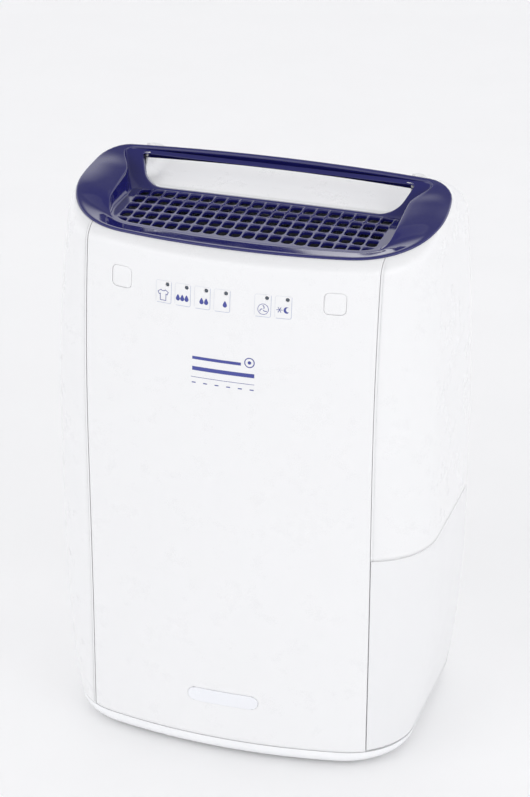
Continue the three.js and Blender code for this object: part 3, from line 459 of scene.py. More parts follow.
plastic("whiteGloss", (0.775, 0.777, 0.781), (0.769, 0.771, 0.775), rough=(0.27, 0.29), strength=0.008, dust=0.006)
plastic("whiteSatin", (0.82, 0.825, 0.835), (0.80, 0.805, 0.815), rough=(0.36, 0.46), strength=0.1, dust=0.05)
plastic("tankMilk", (0.815, 0.817, 0.824), (0.80, 0.803, 0.81), rough=(0.3, 0.4), strength=0.03, dust=0.02,
        transmission=0.08, ior=1.45)
plastic("lidMilk", (0.62, 0.65, 0.69), (0.58, 0.61, 0.65), rough=(0.35, 0.45), dust=0.03)
plastic("blueGloss", (0.012, 0.012, 0.115), (0.010, 0.010, 0.105), rough=(0.05, 0.09), grain=900.0, strength=0.015,
        dust=0.02, coat=0.12, ior=1.5, dustColour=(0.25, 0.25, 0.33))
plastic("lampLens", (0.045, 0.06, 0.085), (0.035, 0.05, 0.07), rough=(0.1, 0.18), strength=0.02, dust=0.0, coat=0.5)
plastic("printBlue", (0.055, 0.07, 0.30), (0.05, 0.06, 0.27), rough=(0.4, 0.5), strength=0.02, dust=0.0)
# the two tile-outline colours: a darker bluish grey used as painted shade on the lower and right edges of each tile,
# and a paler tone used as painted highlight on its upper and left edges
plastic("tileEdgePaintedShade", (0.40, 0.44, 0.58), (0.37, 0.41, 0.55), rough=(0.4, 0.5), strength=0.02, dust=0.0)
plastic("tileEdgePaintedHighlight", (0.60, 0.62, 0.68), (0.58, 0.60, 0.66), rough=(0.35, 0.45), strength=0.02, dust=0.0)
plastic("badgePale", (0.78, 0.79, 0.82), (0.76, 0.77, 0.80), rough=(0.2, 0.28), strength=0.03, dust=0.02)
plastic("blackMoulded", (0.03, 0.031, 0.034), (0.022, 0.023, 0.026), rough=(0.4, 0.55), strength=0.12, dust=0.25)
plastic("darkGreyMoulded", (0.09, 0.094, 0.102), (0.075, 0.079, 0.086), rough=(0.42, 0.58), strength=0.15, dust=0.3)
plastic("rubber", (0.034, 0.034, 0.036), (0.026, 0.026, 0.028), rough=(0.68, 0.85), grain=700.0, strength=0.3, dust=0.3)
plastic("trayGrey", (0.66, 0.68, 0.70), (0.62, 0.64, 0.66), rough=(0.4, 0.52), strength=0.08, dust=0.2)
plastic("floatCream", (0.78, 0.72, 0.60), (0.74, 0.68, 0.56), rough=(0.4, 0.5), strength=0.08, dust=0.05)
plastic("sensorBlue", (0.06, 0.16, 0.33), (0.05, 0.13, 0.28), rough=(0.35, 0.48), strength=0.08, dust=0.1)
plastic("paintBlack", (0.018, 0.019, 0.021), (0.013, 0.014, 0.015), rough=(0.24, 0.4), grain=500.0, strength=0.12,
        dust=0.35, coat=0.25)
plastic("paintGrey", (0.20, 0.215, 0.23), (0.17, 0.185, 0.20), rough=(0.3, 0.45), grain=600.0, strength=0.12, dust=0.25)
metal("bareAluminium", (0.74, 0.76, 0.78), (0.62, 0.64, 0.66))
metal("platedSteel", (0.60, 0.61, 0.62), (0.46, 0.47, 0.49), rough=(0.22, 0.45), stretch=(300.0, 20.0, 300.0))
metal("copper", (0.78, 0.36, 0.20), (0.50, 0.24, 0.15), rough=(0.2, 0.5), stretch=(200.0, 200.0, 20.0), strength=0.1)
metal("canAluminium", (0.72, 0.73, 0.75), (0.62, 0.63, 0.65), rough=(0.25, 0.4), stretch=(300.0, 300.0, 8.0))
metal("darkMagnet", (0.12, 0.12, 0.13), (0.08, 0.08, 0.09), rough=(0.4, 0.6))

# the board: green laminate with fine copper tracks under the lacquer
tree, shader, place = startMaterial("greenBoard")
tracks = tree.nodes.new("ShaderNodeTexBrick")
tree.links.new(place, tracks.inputs["Vector"])
tracks.inputs["Scale"].default_value = 90.0
tracks.inputs["Color1"].default_value = (0.012, 0.11, 0.04, 1)
tracks.inputs["Color2"].default_value = (0.016, 0.13, 0.05, 1)
tracks.inputs["Mortar"].default_value = (0.05, 0.24, 0.09, 1)
tracks.inputs["Mortar Size"].default_value = 0.012
film = useGroup(tree, dustGroup, Vector=place, Colour=tracks.outputs["Color"], Dust=(0.4, 0.4, 0.35), Amount=0.2,
                Roughness=0.32)
tree.links.new(film.outputs["Color"], shader.inputs["Base Color"])
tree.links.new(film.outputs["Roughness"], shader.inputs["Roughness"])
bump(tree, tracks.outputs["Fac"], shader, 0.3, 0.0001)

# the intake net: crossed threads with open squares between them
tree, shader, place = startMaterial("wovenNet")
threads = tree.nodes.new("ShaderNodeTexWave")
threads.bands_direction = "X"
threads.inputs["Scale"].default_value = 150.0
crossed = tree.nodes.new("ShaderNodeTexWave")
crossed.bands_direction = "Z"
crossed.inputs["Scale"].default_value = 150.0
tree.links.new(place, threads.inputs["Vector"])
tree.links.new(place, crossed.inputs["Vector"])
weave = maths(tree, "MAXIMUM", threads.outputs["Fac"], crossed.outputs["Fac"])
tree.links.new(blendColour(tree, span(tree, weave, 0.35, 0.8), (0.03, 0.032, 0.036), (0.36, 0.38, 0.40)),
               shader.inputs["Base Color"])
tree.links.new(span(tree, weave, 0.2, 0.9, 0.9, 0.6), shader.inputs["Roughness"])
bump(tree, weave, shader, 0.6, 0.0004)
print("materials:", len(materials))


# Front cover

cover = {"lines": 3.4, "crownRows": 12, "thickness": 1.6, "lampLevel": 433.8,
         "lamps": [-49.3, -32.3, -15.2, 1.7, 36.0, 52.9], "buttons": [-91.0, 91.0], "buttonLevel": 433.0,
         "buttonHalf": 8.9, "buttonGap": 0.4, "badgeLevel": 56.0, "badgeHalf": (32.0, 6.5)}


def frontPlace(a, b, depth):
    # a point of the front skin at x = a, z = b, pushed inwards by a depth
    return np.stack(np.broadcast_arrays(a, coverSurface(a, b) + depth, b), -1)


def borderLoop(lineA, lineB):
    # once round the edge of a block of grid lines
    loopA = np.concatenate([lineA[:-1], 0 * lineB[:-1] + lineA[-1], lineA[:0:-1], 0 * lineB[:0:-1] + lineA[0]])
    loopB = np.concatenate([0 * lineA[:-1] + lineB[0], lineB[:-1], 0 * lineA[:0:-1] + lineB[-1], lineB[:0:-1]])
    return loopA, loopB


def patchRound(parts, lineA, lineB, centre, half, radius, place, depth, rings=4, edge=0.5, flip=False):
    # fills a block of grid lines round a rounded hole, with a soft lip and a wall of the given depth
    loopA, loopB = borderLoop(lineA, lineB)
    angles = np.arctan2(loopB - centre[1], loopA - centre[0])
    ha, hb = roundedLoop(angles, half[0], half[1], radius)
    rows = [place(mix(loopA, ha + centre[0], t), mix(loopB, hb + centre[1], t), 0.0)
            for t in np.linspace(0, 1, rings) ** 0.7]
    inA, inB = ha * (half[0] - edge * 0.5) / half[0], hb * (half[1] - edge * 0.5) / half[1]
    for share, inward in ((0.45, edge * 0.16), (0.85, edge * 0.5), (1.0, edge), (1.0, depth * 0.6), (1.0, depth)):
        rows.append(place(centre[0] + mix(ha, inA, share), centre[1] + mix(hb, inB, share), inward))
    faces = gridFaces(len(rows), len(loopA), wrapColumns=True)
    parts.add(np.array(rows), faces if flip else faces[:, ::-1])


def inRange(lines, low, high):
    return lines[(lines > low - 1e-6) & (lines < high + 1e-6)]


holes = [((x, cover["buttonLevel"]), (cover["buttonHalf"] + cover["buttonGap"],) * 2, 4.4, 13.0, 13.0, 4.0)
         for x in cover["buttons"]]
holes += [((x, cover["lampLevel"]), (1.9, 1.9), 1.89, 3.4, 3.4, 2.0) for x in cover["lamps"]]
holes += [((0.0, cover["badgeLevel"]), tuple(h + 0.3 for h in cover["badgeHalf"]), 6.75, 40.0, 13.0, 1.6)]
breaksX = [-124.3, 124.3, 0.0] + [h[0][0] + s * h[3] for h in holes for s in (-1, 1)]
breaksZ = [body["shellBottom"] + 0.4, body["fold"]] + [h[0][1] + s * h[4] for h in holes for s in (-1, 1)]
coverX, coverZ = linesBetween(breaksX, cover["lines"]), linesBetween(breaksZ, cover["lines"])
crownT = np.linspace(0, 1, cover["crownRows"] + 1)[1:]


def coverGrid(x):
    # columns of the front: skin levels, then the shoulder up to the trim, then a seat under it
    rows = [np.stack([x, coverSurface(x, 0 * x + z), 0 * x + z], 1) for z in coverZ]
    foldY = coverSurface(x, 0 * x + body["fold"])
    topY = frontEdge(x, body["trimHalf"], body["trimFront"], body["trimBow"], body["trimCorner"])
    topZ = trimPlane(topY, x) - body["seatDrop"]
    for t in crownT:
        px, py, pz = crownPoint(x, foldY, x, topY, t, body["fold"], topZ)
        rows.append(np.stack([px, py, pz], 1))
    rows.append(np.stack([x, topY + 6.0, topZ - 0.2], 1))
    low = rows[0].copy()
    low[:, 1] += 0.4
    low[:, 2] -= 0.4
    lower = low.copy()
    lower[:, 1] += 3.0
    return np.array([lower, low] + rows)


grid = coverGrid(coverX)
left, right = [], []
for reach, inward in ((124.62, 0.12), (124.75, 0.45), (124.75, 2.4), (124.75, 5.0)):
    for side, store in ((-1, left), (1, right)):
        strip = coverGrid(np.array([side * reach]))
        strip[:, :, 1] += inward
        store.append(strip)
grid = np.concatenate(left[::-1] + [grid] + right, 1)
middleX = (coverX[:-1] + coverX[1:]) / 2
middleZ = (coverZ[:-1] + coverZ[1:]) / 2
keep = np.ones((grid.shape[0] - 1, grid.shape[1] - 1), bool)
for centre, half, radius, reachX, reachZ, depth in holes:
    inside = ((np.abs(middleZ - centre[1]) < reachZ)[:, None] & (np.abs(middleX - centre[0]) < reachX)[None, :])
    keep[2:2 + len(middleZ), 4:4 + len(middleX)] &= ~inside
parts = Parts()
parts.add(grid, gridFaces(grid.shape[0], grid.shape[1], keep=keep))
for centre, half, radius, reachX, reachZ, depth in holes:
    patchRound(parts, inRange(coverX, centre[0] - reachX, centre[0] + reachX),
               inRange(coverZ, centre[1] - reachZ, centre[1] + reachZ), centre, half, radius, frontPlace, depth,
               rings=4 if reachX > 4 else 3, edge=0.45)
frontCover = parts.piece("frontPanel", "whiteGloss", replaced=("front_cover",), merge=True, sharp=50)
solidify(frontCover, cover["thickness"])
print("front cover:", len(frontCover.data.polygons), "faces")


# Rear housing

housing = {"startX": 125.25, "parts": [16, 16, 3, 10, 2, 30], "crownRows": 18, "thickness": 2.0,
           "windowHalf": (116.9, 101.0), "windowLevel": 327.0, "windowReach": (118.2, 104.5), "bayTop": 204.5,
           "roundHoles": ((-104.0, 52.0, 8.4), (60.0, 170.0, 8.4))}


def wrapPoints(z, inset=0.0):
    x, y = wrapOutline(*skinSizes(z, inset), housing["startX"], 70.5, body["cheekHalf"], housing["parts"])
    return np.stack([x, y, np.broadcast_to(np.atleast_1d(z)[:, None], x.shape)], -1)


def bothSides(points):
    # the right half followed by its mirror image, so that columns run from seam to seam round the back
    mirrored = points[:, -2::-1].copy()
    mirrored[..., 0] *= -1
    return np.concatenate([points, mirrored], 1)


housingZ = linesBetween([body["shellBottom"], housing["bayTop"], housing["windowLevel"] - housing["windowReach"][1],
                         housing["windowLevel"] + housing["windowReach"][1], body["fold"]], 4.2)
skin = wrapPoints(housingZ)
foldRing = wrapPoints(np.array([body["fold"]]))[0]
tx, ty = wrapOutline(body["trimHalf"], body["trimFront"], body["trimRear"], body["trimBow"], body["trimCorner"],
                     body["trimRearCorner"], housing["startX"], 31.7, body["cheekHalf"] / 0.95,
                     housing["parts"])
trimX, trimY = tx[0] * narrowing(ty[0]), ty[0]
trimX[-housing["parts"][5] - 1:] = foldRing[-housing["parts"][5] - 1:, 0]
trimZ = trimPlane(trimY, trimX) - body["seatDrop"]
rearTopZ = trimZ[-1]
upAt = lambda t: 2 * t * (1 - t) * 0.62 + t * t
tries = np.linspace(0, 1, 4001)
tLedge = tries[np.argmin(np.abs(mix(body["fold"], rearTopZ, upAt(tries)) - body["ledge"]))]
housingT = linesBetween([0.0, tLedge, 1.0], 1.0 / housing["crownRows"])[1:]
crown = np.array([np.stack(crownPoint(foldRing[:, 0], foldRing[:, 1], trimX, trimY, t, body["fold"], trimZ), 1)
                  for t in housingT])
seat = crown[-1:].copy()
seat[0, :, 0] *= 1 - 7 / 158
seat[0, :, 1] = mix(seat[0, :, 1], -15.0, 0.09)
seat[0, :, 2] = np.minimum(seat[0, :, 2] - 1.2, trimPlane(seat[0, :, 1], seat[0, :, 0]) - 3.6)
skin = np.concatenate([skin, crown, seat], 0)
inner = wrapPoints(np.array([body["shellBottom"]]), 3.0)
skin = np.concatenate([inner, skin], 0)
grid = bothSides(skin)
seamIn = []
for offset in (5.0, 2.2, 0.35):
    strip = grid[:, :1].copy()
    strip[:, 0, 1] += offset
    strip[-3:, 0, 2] -= offset * np.array([0.4, 0.7, 0.9])
    seamIn.append(strip)
otherIn = [s.copy() for s in seamIn[::-1]]
for s in otherIn:
    s[:, 0, 0] *= -1
grid = np.concatenate(seamIn + [grid] + otherIn, 1)
rows, columns = grid.shape[:2]
keep = np.ones((rows - 1, columns - 1), bool)
n = housing["parts"]
tankColumns = 3 + n[0] + n[1] + n[2]
rowOf = lambda z: 1 + int(np.argmin(np.abs(housingZ - z)))
keep[:rowOf(housing["bayTop"]), :tankColumns] = False
firstRear = 3 + sum(n[:5])
lastRear = firstRear + 2 * n[5]
rearX = grid[10, firstRear:lastRear + 1, 0]
windowRows = [rowOf(housing["windowLevel"] + side * housing["windowReach"][1]) for side in (-1, 1)]
keep[windowRows[0]:windowRows[1], firstRear:lastRear] = False
# round holes over the cord gland and the drain spout
roundHoles = []
for x, z, radius in housing["roundHoles"]:
    low, high = rowOf(z - radius - 5), rowOf(z + radius + 5)
    near = firstRear + np.nonzero(np.abs(rearX - x) < radius + 6)[0]
    keep[low:high, near[0]:near[-1]] = False
    roundHoles.append((x, z, radius, grid[10, near, 0][::-1], housingZ[low - 1:high]))
ledgeRow = 1 + len(housingZ) + int(np.argmin(np.abs(housingT - tLedge)))
keep[ledgeRow:, firstRear:lastRear] = False
parts = Parts()
parts.add(grid, gridFaces(rows, columns, keep=keep))


def rearPlace(a, b, depth):
    half, front, rear, bow, corner, rearCorner = skinSizes(b)
    return np.stack(np.broadcast_arrays(a, rear - depth, b), -1)


patchRound(parts, rearX[::-1], housingZ[windowRows[0] - 1:windowRows[1]], (0.0, housing["windowLevel"]),
           housing["windowHalf"], 8.0, rearPlace, 6.0, rings=3, edge=0.8, flip=True)
for x, z, radius, lineX, lineZ in roundHoles:
    patchRound(parts, lineX, lineZ, (x, z), (radius, radius), radius - 0.01, rearPlace, 2.4, rings=3, edge=0.6,
               flip=True)

# the hand recess: an upright cheek at each side, a round corner and a level floor, from the slot to the back
recessT = housingT[housingT >= tLedge - 1e-6]
crownRear = crown[[int(np.argmin(np.abs(housingT - t))) for t in recessT], -1]
backY, backZ = crownRear[:, 1], crownRear[:, 2]
forwardY = np.array([44.0, 36.0, 28.0, 22.5])
rowY = np.concatenate([backY, forwardY])
rowTop = np.concatenate([backZ, 469.6 + (forwardY - 17.6) * 0.7 - 7.0])
drop = rowTop - body["ledge"]
cheek = body["cheekHalf"]
radius = np.minimum(11.0, np.maximum(0.0, drop * 0.9))
arcT = np.linspace(0, pi / 2, 9)
side = []
side.append(np.stack([0 * rowY + cheek, rowY, rowTop], 1))
side.append(np.stack([0 * rowY + cheek, rowY, mix(rowTop, body["ledge"] + radius, 0.5)], 1))
for a in arcT:
    side.append(np.stack([cheek - radius * (1 - np.cos(a)), rowY, body["ledge"] + radius * (1 - np.sin(a))], 1))
flat = [np.stack([mix(cheek - radius, 0 * radius, t), rowY, 0 * rowY + body["ledge"]], 1)
        for t in np.linspace(0, 1, 13)[1:]]
halfGrid = np.array(side + flat).transpose(1, 0, 2)
mirrored = halfGrid[:, -2::-1].copy()
mirrored[..., 0] *= -1
recess = np.concatenate([halfGrid, mirrored], 1)
parts.add(recess, gridFaces(recess.shape[0], recess.shape[1])[:, ::-1])
rearShell = parts.piece("rearShell", "whiteGloss", replaced=("rear_housing",), merge=True, sharp=42)
solidify(rearShell, housing["thickness"])
print("rear housing:", len(rearShell.data.polygons), "faces")

# the heads of the rear screws: a low dome turned about the screw, with a six-lobed socket
screws = {"places": ((-120.0, 120.0), (120.0, 120.0), (-120.0, 443.0), (120.0, 443.0)), "turn": 36,
          "profile": ((4.0, -1.2), (4.0, 0.1), (3.9, 0.35), (3.6, 0.55), (2.9, 0.85), (2.0, 1.05), (1.6, 1.08),
                      (1.5, 0.9), (1.45, 0.0), (0.9, -0.15), (0.0, -0.2))}
for i, (x, z) in enumerate(screws["places"]):
    turn = np.linspace(0, 2 * pi, screws["turn"], endpoint=False)
    face = skinSizes(z)[2] - 0.35
    rows = []
    for reach, out in screws["profile"]:
        lobes = 1 + (0.12 * np.cos(6 * turn) if 0.5 < reach < 1.65 else 0 * turn)
        rows.append(np.stack([x + reach * lobes * np.cos(turn), 0 * turn + face + out,
                              z + reach * lobes * np.sin(turn)], 1))
    parts = Parts()
    parts.add(np.array(rows), gridFaces(len(rows), len(turn), wrapColumns=True))
    parts.piece(f"rearScrew{i + 1}", "platedSteel", replaced=(f"rear_screw_{i + 1}",), merge=True, sharp=40,
                slotName=f"rear_screw_{i + 1}", inside=(x, face - 40, z))


def panel(parts, low, high):
    # a flat panel as a closed box
    x0, y0, z0 = low
    x1, y1, z1 = high
    corners = [(x, y, z) for z in (z0, z1) for y in (y0, y1) for x in (x0, x1)]
    parts.add(corners, quads=[[0, 2, 3, 1], [4, 5, 7, 6], [0, 1, 5, 4], [2, 6, 7, 3], [0, 4, 6, 2], [1, 3, 7, 5]])


# the tank bay behind the tank: side wall, back wall and roof, each kept inside the skin
bay = {"wallX": (82.0, 84.6), "roof": (206.4, 209.0), "back": (72.4, 75.0), "front": -88.0}
parts = Parts()
panel(parts, (bay["wallX"][0], bay["front"], 16.8), (bay["wallX"][1], bay["back"][1], bay["roof"][1]))
panel(parts, (bay["wallX"][1], bay["back"][0], 16.8), (160.0 - 12, bay["back"][1], bay["roof"][0]))
roofY = np.linspace(-84, 72.4, 40)
half, front, rear, bow, corner, rearCorner = [v[0] for v in skinSizes(np.array([207.0]), 2.4)]
cornerX, centre = half - corner, front + bow
cornerY = centre - np.sqrt((bow - corner) ** 2 - cornerX ** 2)
reach = np.where(roofY < cornerY, cornerX + np.sqrt(np.maximum(0, corner ** 2 - (roofY - cornerY) ** 2)), half)
onRear = half - rearCorner + np.sqrt(np.maximum(0, rearCorner ** 2 - (roofY - rear + rearCorner) ** 2))
reach = np.where(roofY > rear - rearCorner, onRear, reach)
atWall, underside, topside = 0 * reach + bay["wallX"][1], 0 * reach + bay["roof"][0], 0 * reach + bay["roof"][1]
loop = np.array([[atWall, roofY, underside], [reach, roofY, underside], [reach, roofY, topside],
                 [atWall, roofY, topside]])
loop = loop.transpose(0, 2, 1)
parts.add(loop, gridFaces(4, len(roofY), wrapRows=True))
parts.piece("tankBay", "whiteSatin", slotName="rear_housing", sharp=30)


# Outlet trim: flange, dish, grille and handle bar

trim = {"parts": (64, 26, 16, 6, 64), "columns": 20, "rows": 5, "pitch": (11.16, 14.475), "firstRow": -48.1,
        "hole": (4.75, 6.15), "holeRadius": 3.1, "holeDepth": 3.0, "slotHalf": 114.0, "slot": (470.9, 491.2),
        "slotRadius": 15.0, "flangeRows": 9, "wallRows": 18, "wallPower": (1.12, 2.3)}


def floorLevel(x, y):
    # the grille floor: nearly level, a little higher at the back and in the middle
    return 465.5 + 0.055 * (y - body["floorFront"]) + 0.8 * (1 - (x / 125.0) ** 2)


def trimRing(inset, drop):
    x, y = closedOutline(body["trimHalf"] - inset, body["trimFront"] + inset, body["trimRear"] - inset, body["trimBow"],
                         body["trimCorner"] - inset, max(4.0, body["trimRearCorner"] - inset), trim["parts"])
    x, y = x[0], y[0]
    level = np.clip((body["trimFront"] + 34 - y) / 20, 0, 1)
    x = x * narrowing(y)
    return np.stack([x, y, trimPlane(y - inset * level, x) - drop], 1)


def creaseRing(spread, drop):
    # the inner edge of the flange: on the sloping plane at the sides, easing down to the floor at the front
    x, y = closedOutline(body["creaseHalf"] + spread, body["creaseFront"] - spread, body["creaseRear"] + spread * 0.6,
                         body["trimBow"], 30.0 + spread, 6.0 + spread, trim["parts"])
    x, y = x[0], y[0]
    ease = smooth((-24.0 - y) / 22)
    x = x * (1 + 0.105 * smooth((y - 12) / 34))
    return np.stack([x, y, mix(trimPlane(y, x) - drop, floorLevel(x, y) + 0.04, ease)], 1)


x, y = closedOutline(body["floorHalf"], body["floorFront"], body["floorRear"], body["trimBow"], 26.0, 4.0,
                     trim["parts"])
floorEdge = np.stack([x[0], y[0], floorLevel(x[0], y[0])], 1)
rimRows = [trimRing(4.0, 2.4), trimRing(0.4, 2.1), trimRing(0.1, 1.95), trimRing(0, 1.7), trimRing(0.05, 1.2),
           trimRing(0.3, 0.62), trimRing(0.75, 0.24), trimRing(1.3, 0.06), trimRing(1.9, 0.0)]
start, end = trimRing(1.9, 0.0), creaseRing(1.5, 0.0)
for t in np.linspace(0, 1, trim["flangeRows"] + 1)[1:]:
    ring = mix(start, end, t)
    ring[:, 2] += 1.2 * np.sin(pi * t) * smooth((ring[:, 1] + 60) / 60) * smooth((36 - ring[:, 1]) / 20)
    rimRows.append(ring)
rimRows += [creaseRing(1.0, 0.14), creaseRing(0.45, 0.5), creaseRing(0.1, 1.05), creaseRing(-0.1, 1.7)]
lowRim = creaseRing(-0.1, 1.7)
count = len(lowRim)
p = trim["parts"]
rearStart = p[0] + p[1] + p[2] + p[3]
rearEnd = rearStart + p[4]
index = np.arange(count)
away = np.minimum(np.abs(index - rearStart), np.abs(index - rearEnd))
away = np.where((index >= rearStart) & (index <= rearEnd), 0, away)
power = mix(*trim["wallPower"], smooth(away / 20.0))
wallT = np.linspace(0, 1, trim["wallRows"] + 1)[1:]


def wallPoint(top, low, t, power):
    # down the dish wall: straight at the slot, hollow like a scoop at the sides
    down = 1 - (1 - t) ** power
    across = t ** mix(1.0, 1.25, (power - trim["wallPower"][0]) / 1.18)
    return np.stack([mix(top[..., 0], low[..., 0], across), mix(top[..., 1], low[..., 1], across),
                     mix(top[..., 2], low[..., 2], down)], -1)


for t in wallT:
    rimRows.append(wallPoint(lowRim, floorEdge, t, power))
grid = np.array(rimRows)
keep = np.ones((len(grid) - 1, count), bool)
firstWall = len(rimRows) - len(wallT) - 1
keep[firstWall:, rearStart:rearEnd] = False
parts = Parts()
parts.add(grid, gridFaces(len(grid), count, wrapColumns=True, keep=keep))
topA, topB = lowRim[rearStart], lowRim[rearEnd]
lowA, lowB = floorEdge[rearStart], floorEdge[rearEnd]


def slotPlace(a, b, depth):
    # the wall at the back of the dish: a runs across from 1 to -1, b down from the rim to the floor
    a, b = np.broadcast_arrays(a, b)
    share = (1 - a / 120.0) / 2
    top, low = mix(topA, topB, share[..., None]), mix(lowA, lowB, share[..., None])
    low = low.copy()
    low[..., 2] = floorLevel(low[..., 0], low[..., 1])
    point = wallPoint(top, low, b / 36.0, trim["wallPower"][0])
    point[..., 1] += depth
    point[..., 2] -= depth * 0.25
    return point


lineB = np.concatenate([[0.0], wallT]) * 36.0
lineA = np.linspace(-120, 120, p[4] + 1)
tries = np.linspace(0, 36, 1500)
levels = slotPlace(0 * tries, tries, 0.0)[:, 2]
slotB = [tries[np.argmin(np.abs(levels - z))] for z in (trim["slot"][1], trim["slot"][0])]
slotMid, slotReach = (slotB[0] + slotB[1]) / 2, (slotB[1] - slotB[0]) / 2


def slotLoop(angles, halfA, halfB):
    # the slot's outline: big round lower corners, small upper ones
    da, db = np.cos(angles), np.sin(angles)
    low, high = np.zeros_like(angles), np.full_like(angles, halfA + halfB)
    radius = np.where(db > 0, np.minimum(trim["slotRadius"], 2 * halfB - 0.5), 2.0)
    for step in range(40):
        t = (low + high) / 2
        a, b = np.abs(t * da), t * db
        qa = a - halfA + radius
        qb = np.where(db > 0, b - halfB + radius, -b - halfB + radius)
        outside = np.where((qa > 0) & (qb > 0), np.hypot(qa, qb) > radius, np.maximum(qa, qb) > radius)
        high, low = np.where(outside, t, high), np.where(outside, low, t)
    return low * da, low * db


loopA, loopB = borderLoop(lineA, lineB)
fine = np.linspace(-pi, pi, 6001)[:-1]
fa, fb = slotLoop(fine, trim["slotHalf"], slotReach)
length = np.concatenate([[0], np.cumsum(np.hypot(np.diff(fa), np.diff(fb)))])
corners = np.array([len(lineA) - 1, len(lineA) + len(lineB) - 2, 2 * len(lineA) + len(lineB) - 3, len(loopA)])
anchors = []
for a0, b0 in ((-1, -1), (1, -1), (1, 1), (-1, 1)):
    score = a0 * fa / trim["slotHalf"] + b0 * fb / slotReach
    anchors.append(length[np.argmax(score)])
total = length[-1] + np.hypot(fa[0] - fa[-1], fb[0] - fb[-1])
anchors = np.unwrap(np.array(anchors + [anchors[0]]) * 2 * pi / total) * total / (2 * pi)
if anchors[1] < anchors[0]:
    anchors = anchors[0] - (anchors - anchors[0])
spots = np.zeros(len(loopA))
begin = 0
for k in range(4):
    run = corners[k] - begin
    spots[begin:corners[k]] = anchors[k] + (anchors[k + 1] - anchors[k]) * np.arange(run) / run
    begin = corners[k]
spots = np.mod(spots, total)
ha, hb = np.interp(spots, length, fa), np.interp(spots, length, fb)
rows = [slotPlace(mix(loopA, ha, t), mix(loopB, hb + slotMid, t), 0.0) for t in (0.0, 0.4, 0.75, 1.0)]
shrink = lambda k: (ha * (1 - k / trim["slotHalf"]), hb * (1 - k / slotReach))
for k, inward in ((0.5, 0.15), (0.85, 0.5), (1.0, 1.1), (1.0, 2.6), (1.0, 4.6)):
    sa, sb = shrink(k)
    rows.append(slotPlace(sa, sb + slotMid, inward))
parts.add(np.array(rows), gridFaces(len(rows), len(loopA), wrapColumns=True))

# the underside and the back of the handle bar
profile = np.array([(42.3, 490.6), (43.4, 490.1), (45.0, 490.0), (47.0, 490.1), (48.6, 490.8), (49.4, 492.0),
                    (49.6, 493.4), (49.6, 495.6), (49.6, 497.7)])
across = np.linspace(118.5, -118.5, 49)
sag = trimPlane(body["trimRear"], across[None, :]) - trimPlane(body["trimRear"])
bar = np.stack(np.broadcast_arrays(across[None, :], profile[:, :1], profile[:, 1:] + sag), -1)
parts.add(bar, gridFaces(len(profile), 49))

# the grille: one patch for each hole, all worked out as one block of numbers
cellX = (np.arange(trim["columns"]) - (trim["columns"] - 1) / 2) * trim["pitch"][0]
cellY = trim["firstRow"] + np.arange(trim["rows"]) * trim["pitch"][1]
side = np.linspace(-1, 1, 6)[:-1]
one = np.ones(5)
loopU = np.concatenate([side, one, -side, -one])
loopV = np.concatenate([-one, side, one, -side])
hx, hy = roundedLoop(np.arctan2(loopV * trim["pitch"][1], loopU * trim["pitch"][0]), trim["hole"][0], trim["hole"][1],
                     trim["holeRadius"])
cellU, cellV = loopU * trim["pitch"][0] / 2, loopV * trim["pitch"][1] / 2
ringU = np.array([cellU, mix(cellU, hx * 1.06, 0.9), hx * 1.02, hx * 0.985, hx * 0.97, hx * 0.965])
ringV = np.array([cellV, mix(cellV, hy * 1.05, 0.9), hy * 1.015, hy * 0.985, hy * 0.975, hy * 0.97])
depths = np.array([0, 0, 0.1, 0.4, 1.0, trim["holeDepth"]])
gx, gy = np.meshgrid(cellX, cellY)
px = gx.reshape(-1, 1, 1) + ringU[None]
py = gy.reshape(-1, 1, 1) + ringV[None]
pz = floorLevel(px, py) - depths[None, :, None]
cells = np.stack([px, py, pz], -1)
one = gridFaces(len(depths), 20, wrapColumns=True)
step = len(depths) * 20
parts.add(cells, (one[None] + (np.arange(len(cells)) * step)[:, None, None]).reshape(-1, 4)[:, ::-1])

# the plain floor between the grille and the dish wall
halfX = trim["columns"] * trim["pitch"][0] / 2
lowY, highY = cellY[0] - trim["pitch"][1] / 2, cellY[-1] + trim["pitch"][1] / 2
fx, fy = floorEdge[:, 0], floorEdge[:, 1]
boxX, boxY = np.clip(fx, -halfX, halfX), np.clip(fy, lowY, highY)
boxX = np.where((fy <= lowY) | (fy >= highY), np.clip(fx * halfX / body["floorHalf"], -halfX, halfX),
                np.sign(fx) * halfX)
rows = [np.stack([mix(fx, boxX, t), mix(fy, boxY, t), floorLevel(mix(fx, boxX, t), mix(fy, boxY, t))], 1)
        for t in np.linspace(0, 1, 4)]
parts.add(np.array(rows), gridFaces(4, count, wrapColumns=True))
outletTrim = parts.piece("outletTrim", "blueGloss", replaced=("outlet_trim",), merge=True, sharp=42,
                         inside=(0.0, 0.0, -3000.0))
print("outlet trim:", len(outletTrim.data.polygons), "faces")


# Base, tank, buttons, lamps, badge

baseZ = np.concatenate([np.linspace(4.0, 13.0, 13), np.linspace(13.0, 16.0, 4)[1:]])
x, y = closedOutline(*skinSizes(baseZ), (40, 16, 10, 12, 30))
base = np.stack([x, y, np.broadcast_to(baseZ[:, None], x.shape)], -1)
shrunk = lambda ring, k, rise: np.stack([ring[:, 0] * k, ring[:, 1] * k, ring[:, 2] + rise], 1)[None]
base = np.concatenate([shrunk(base[0], 0.002, 0.0), shrunk(base[0], 0.5, 0.0), shrunk(base[0], 0.985, 0.0), base,
                       shrunk(base[-1], 0.97, 0.0), shrunk(base[-1], 0.955, -4.0), shrunk(base[-1], 0.94, -8.0),
                       shrunk(base[-1], 0.002, -8.0)], 0)
parts = Parts()
parts.add(base, gridFaces(base.shape[0], base.shape[1], wrapColumns=True))
parts.piece("basePan", "whiteSatin", replaced=("base_pan",), merge=True)

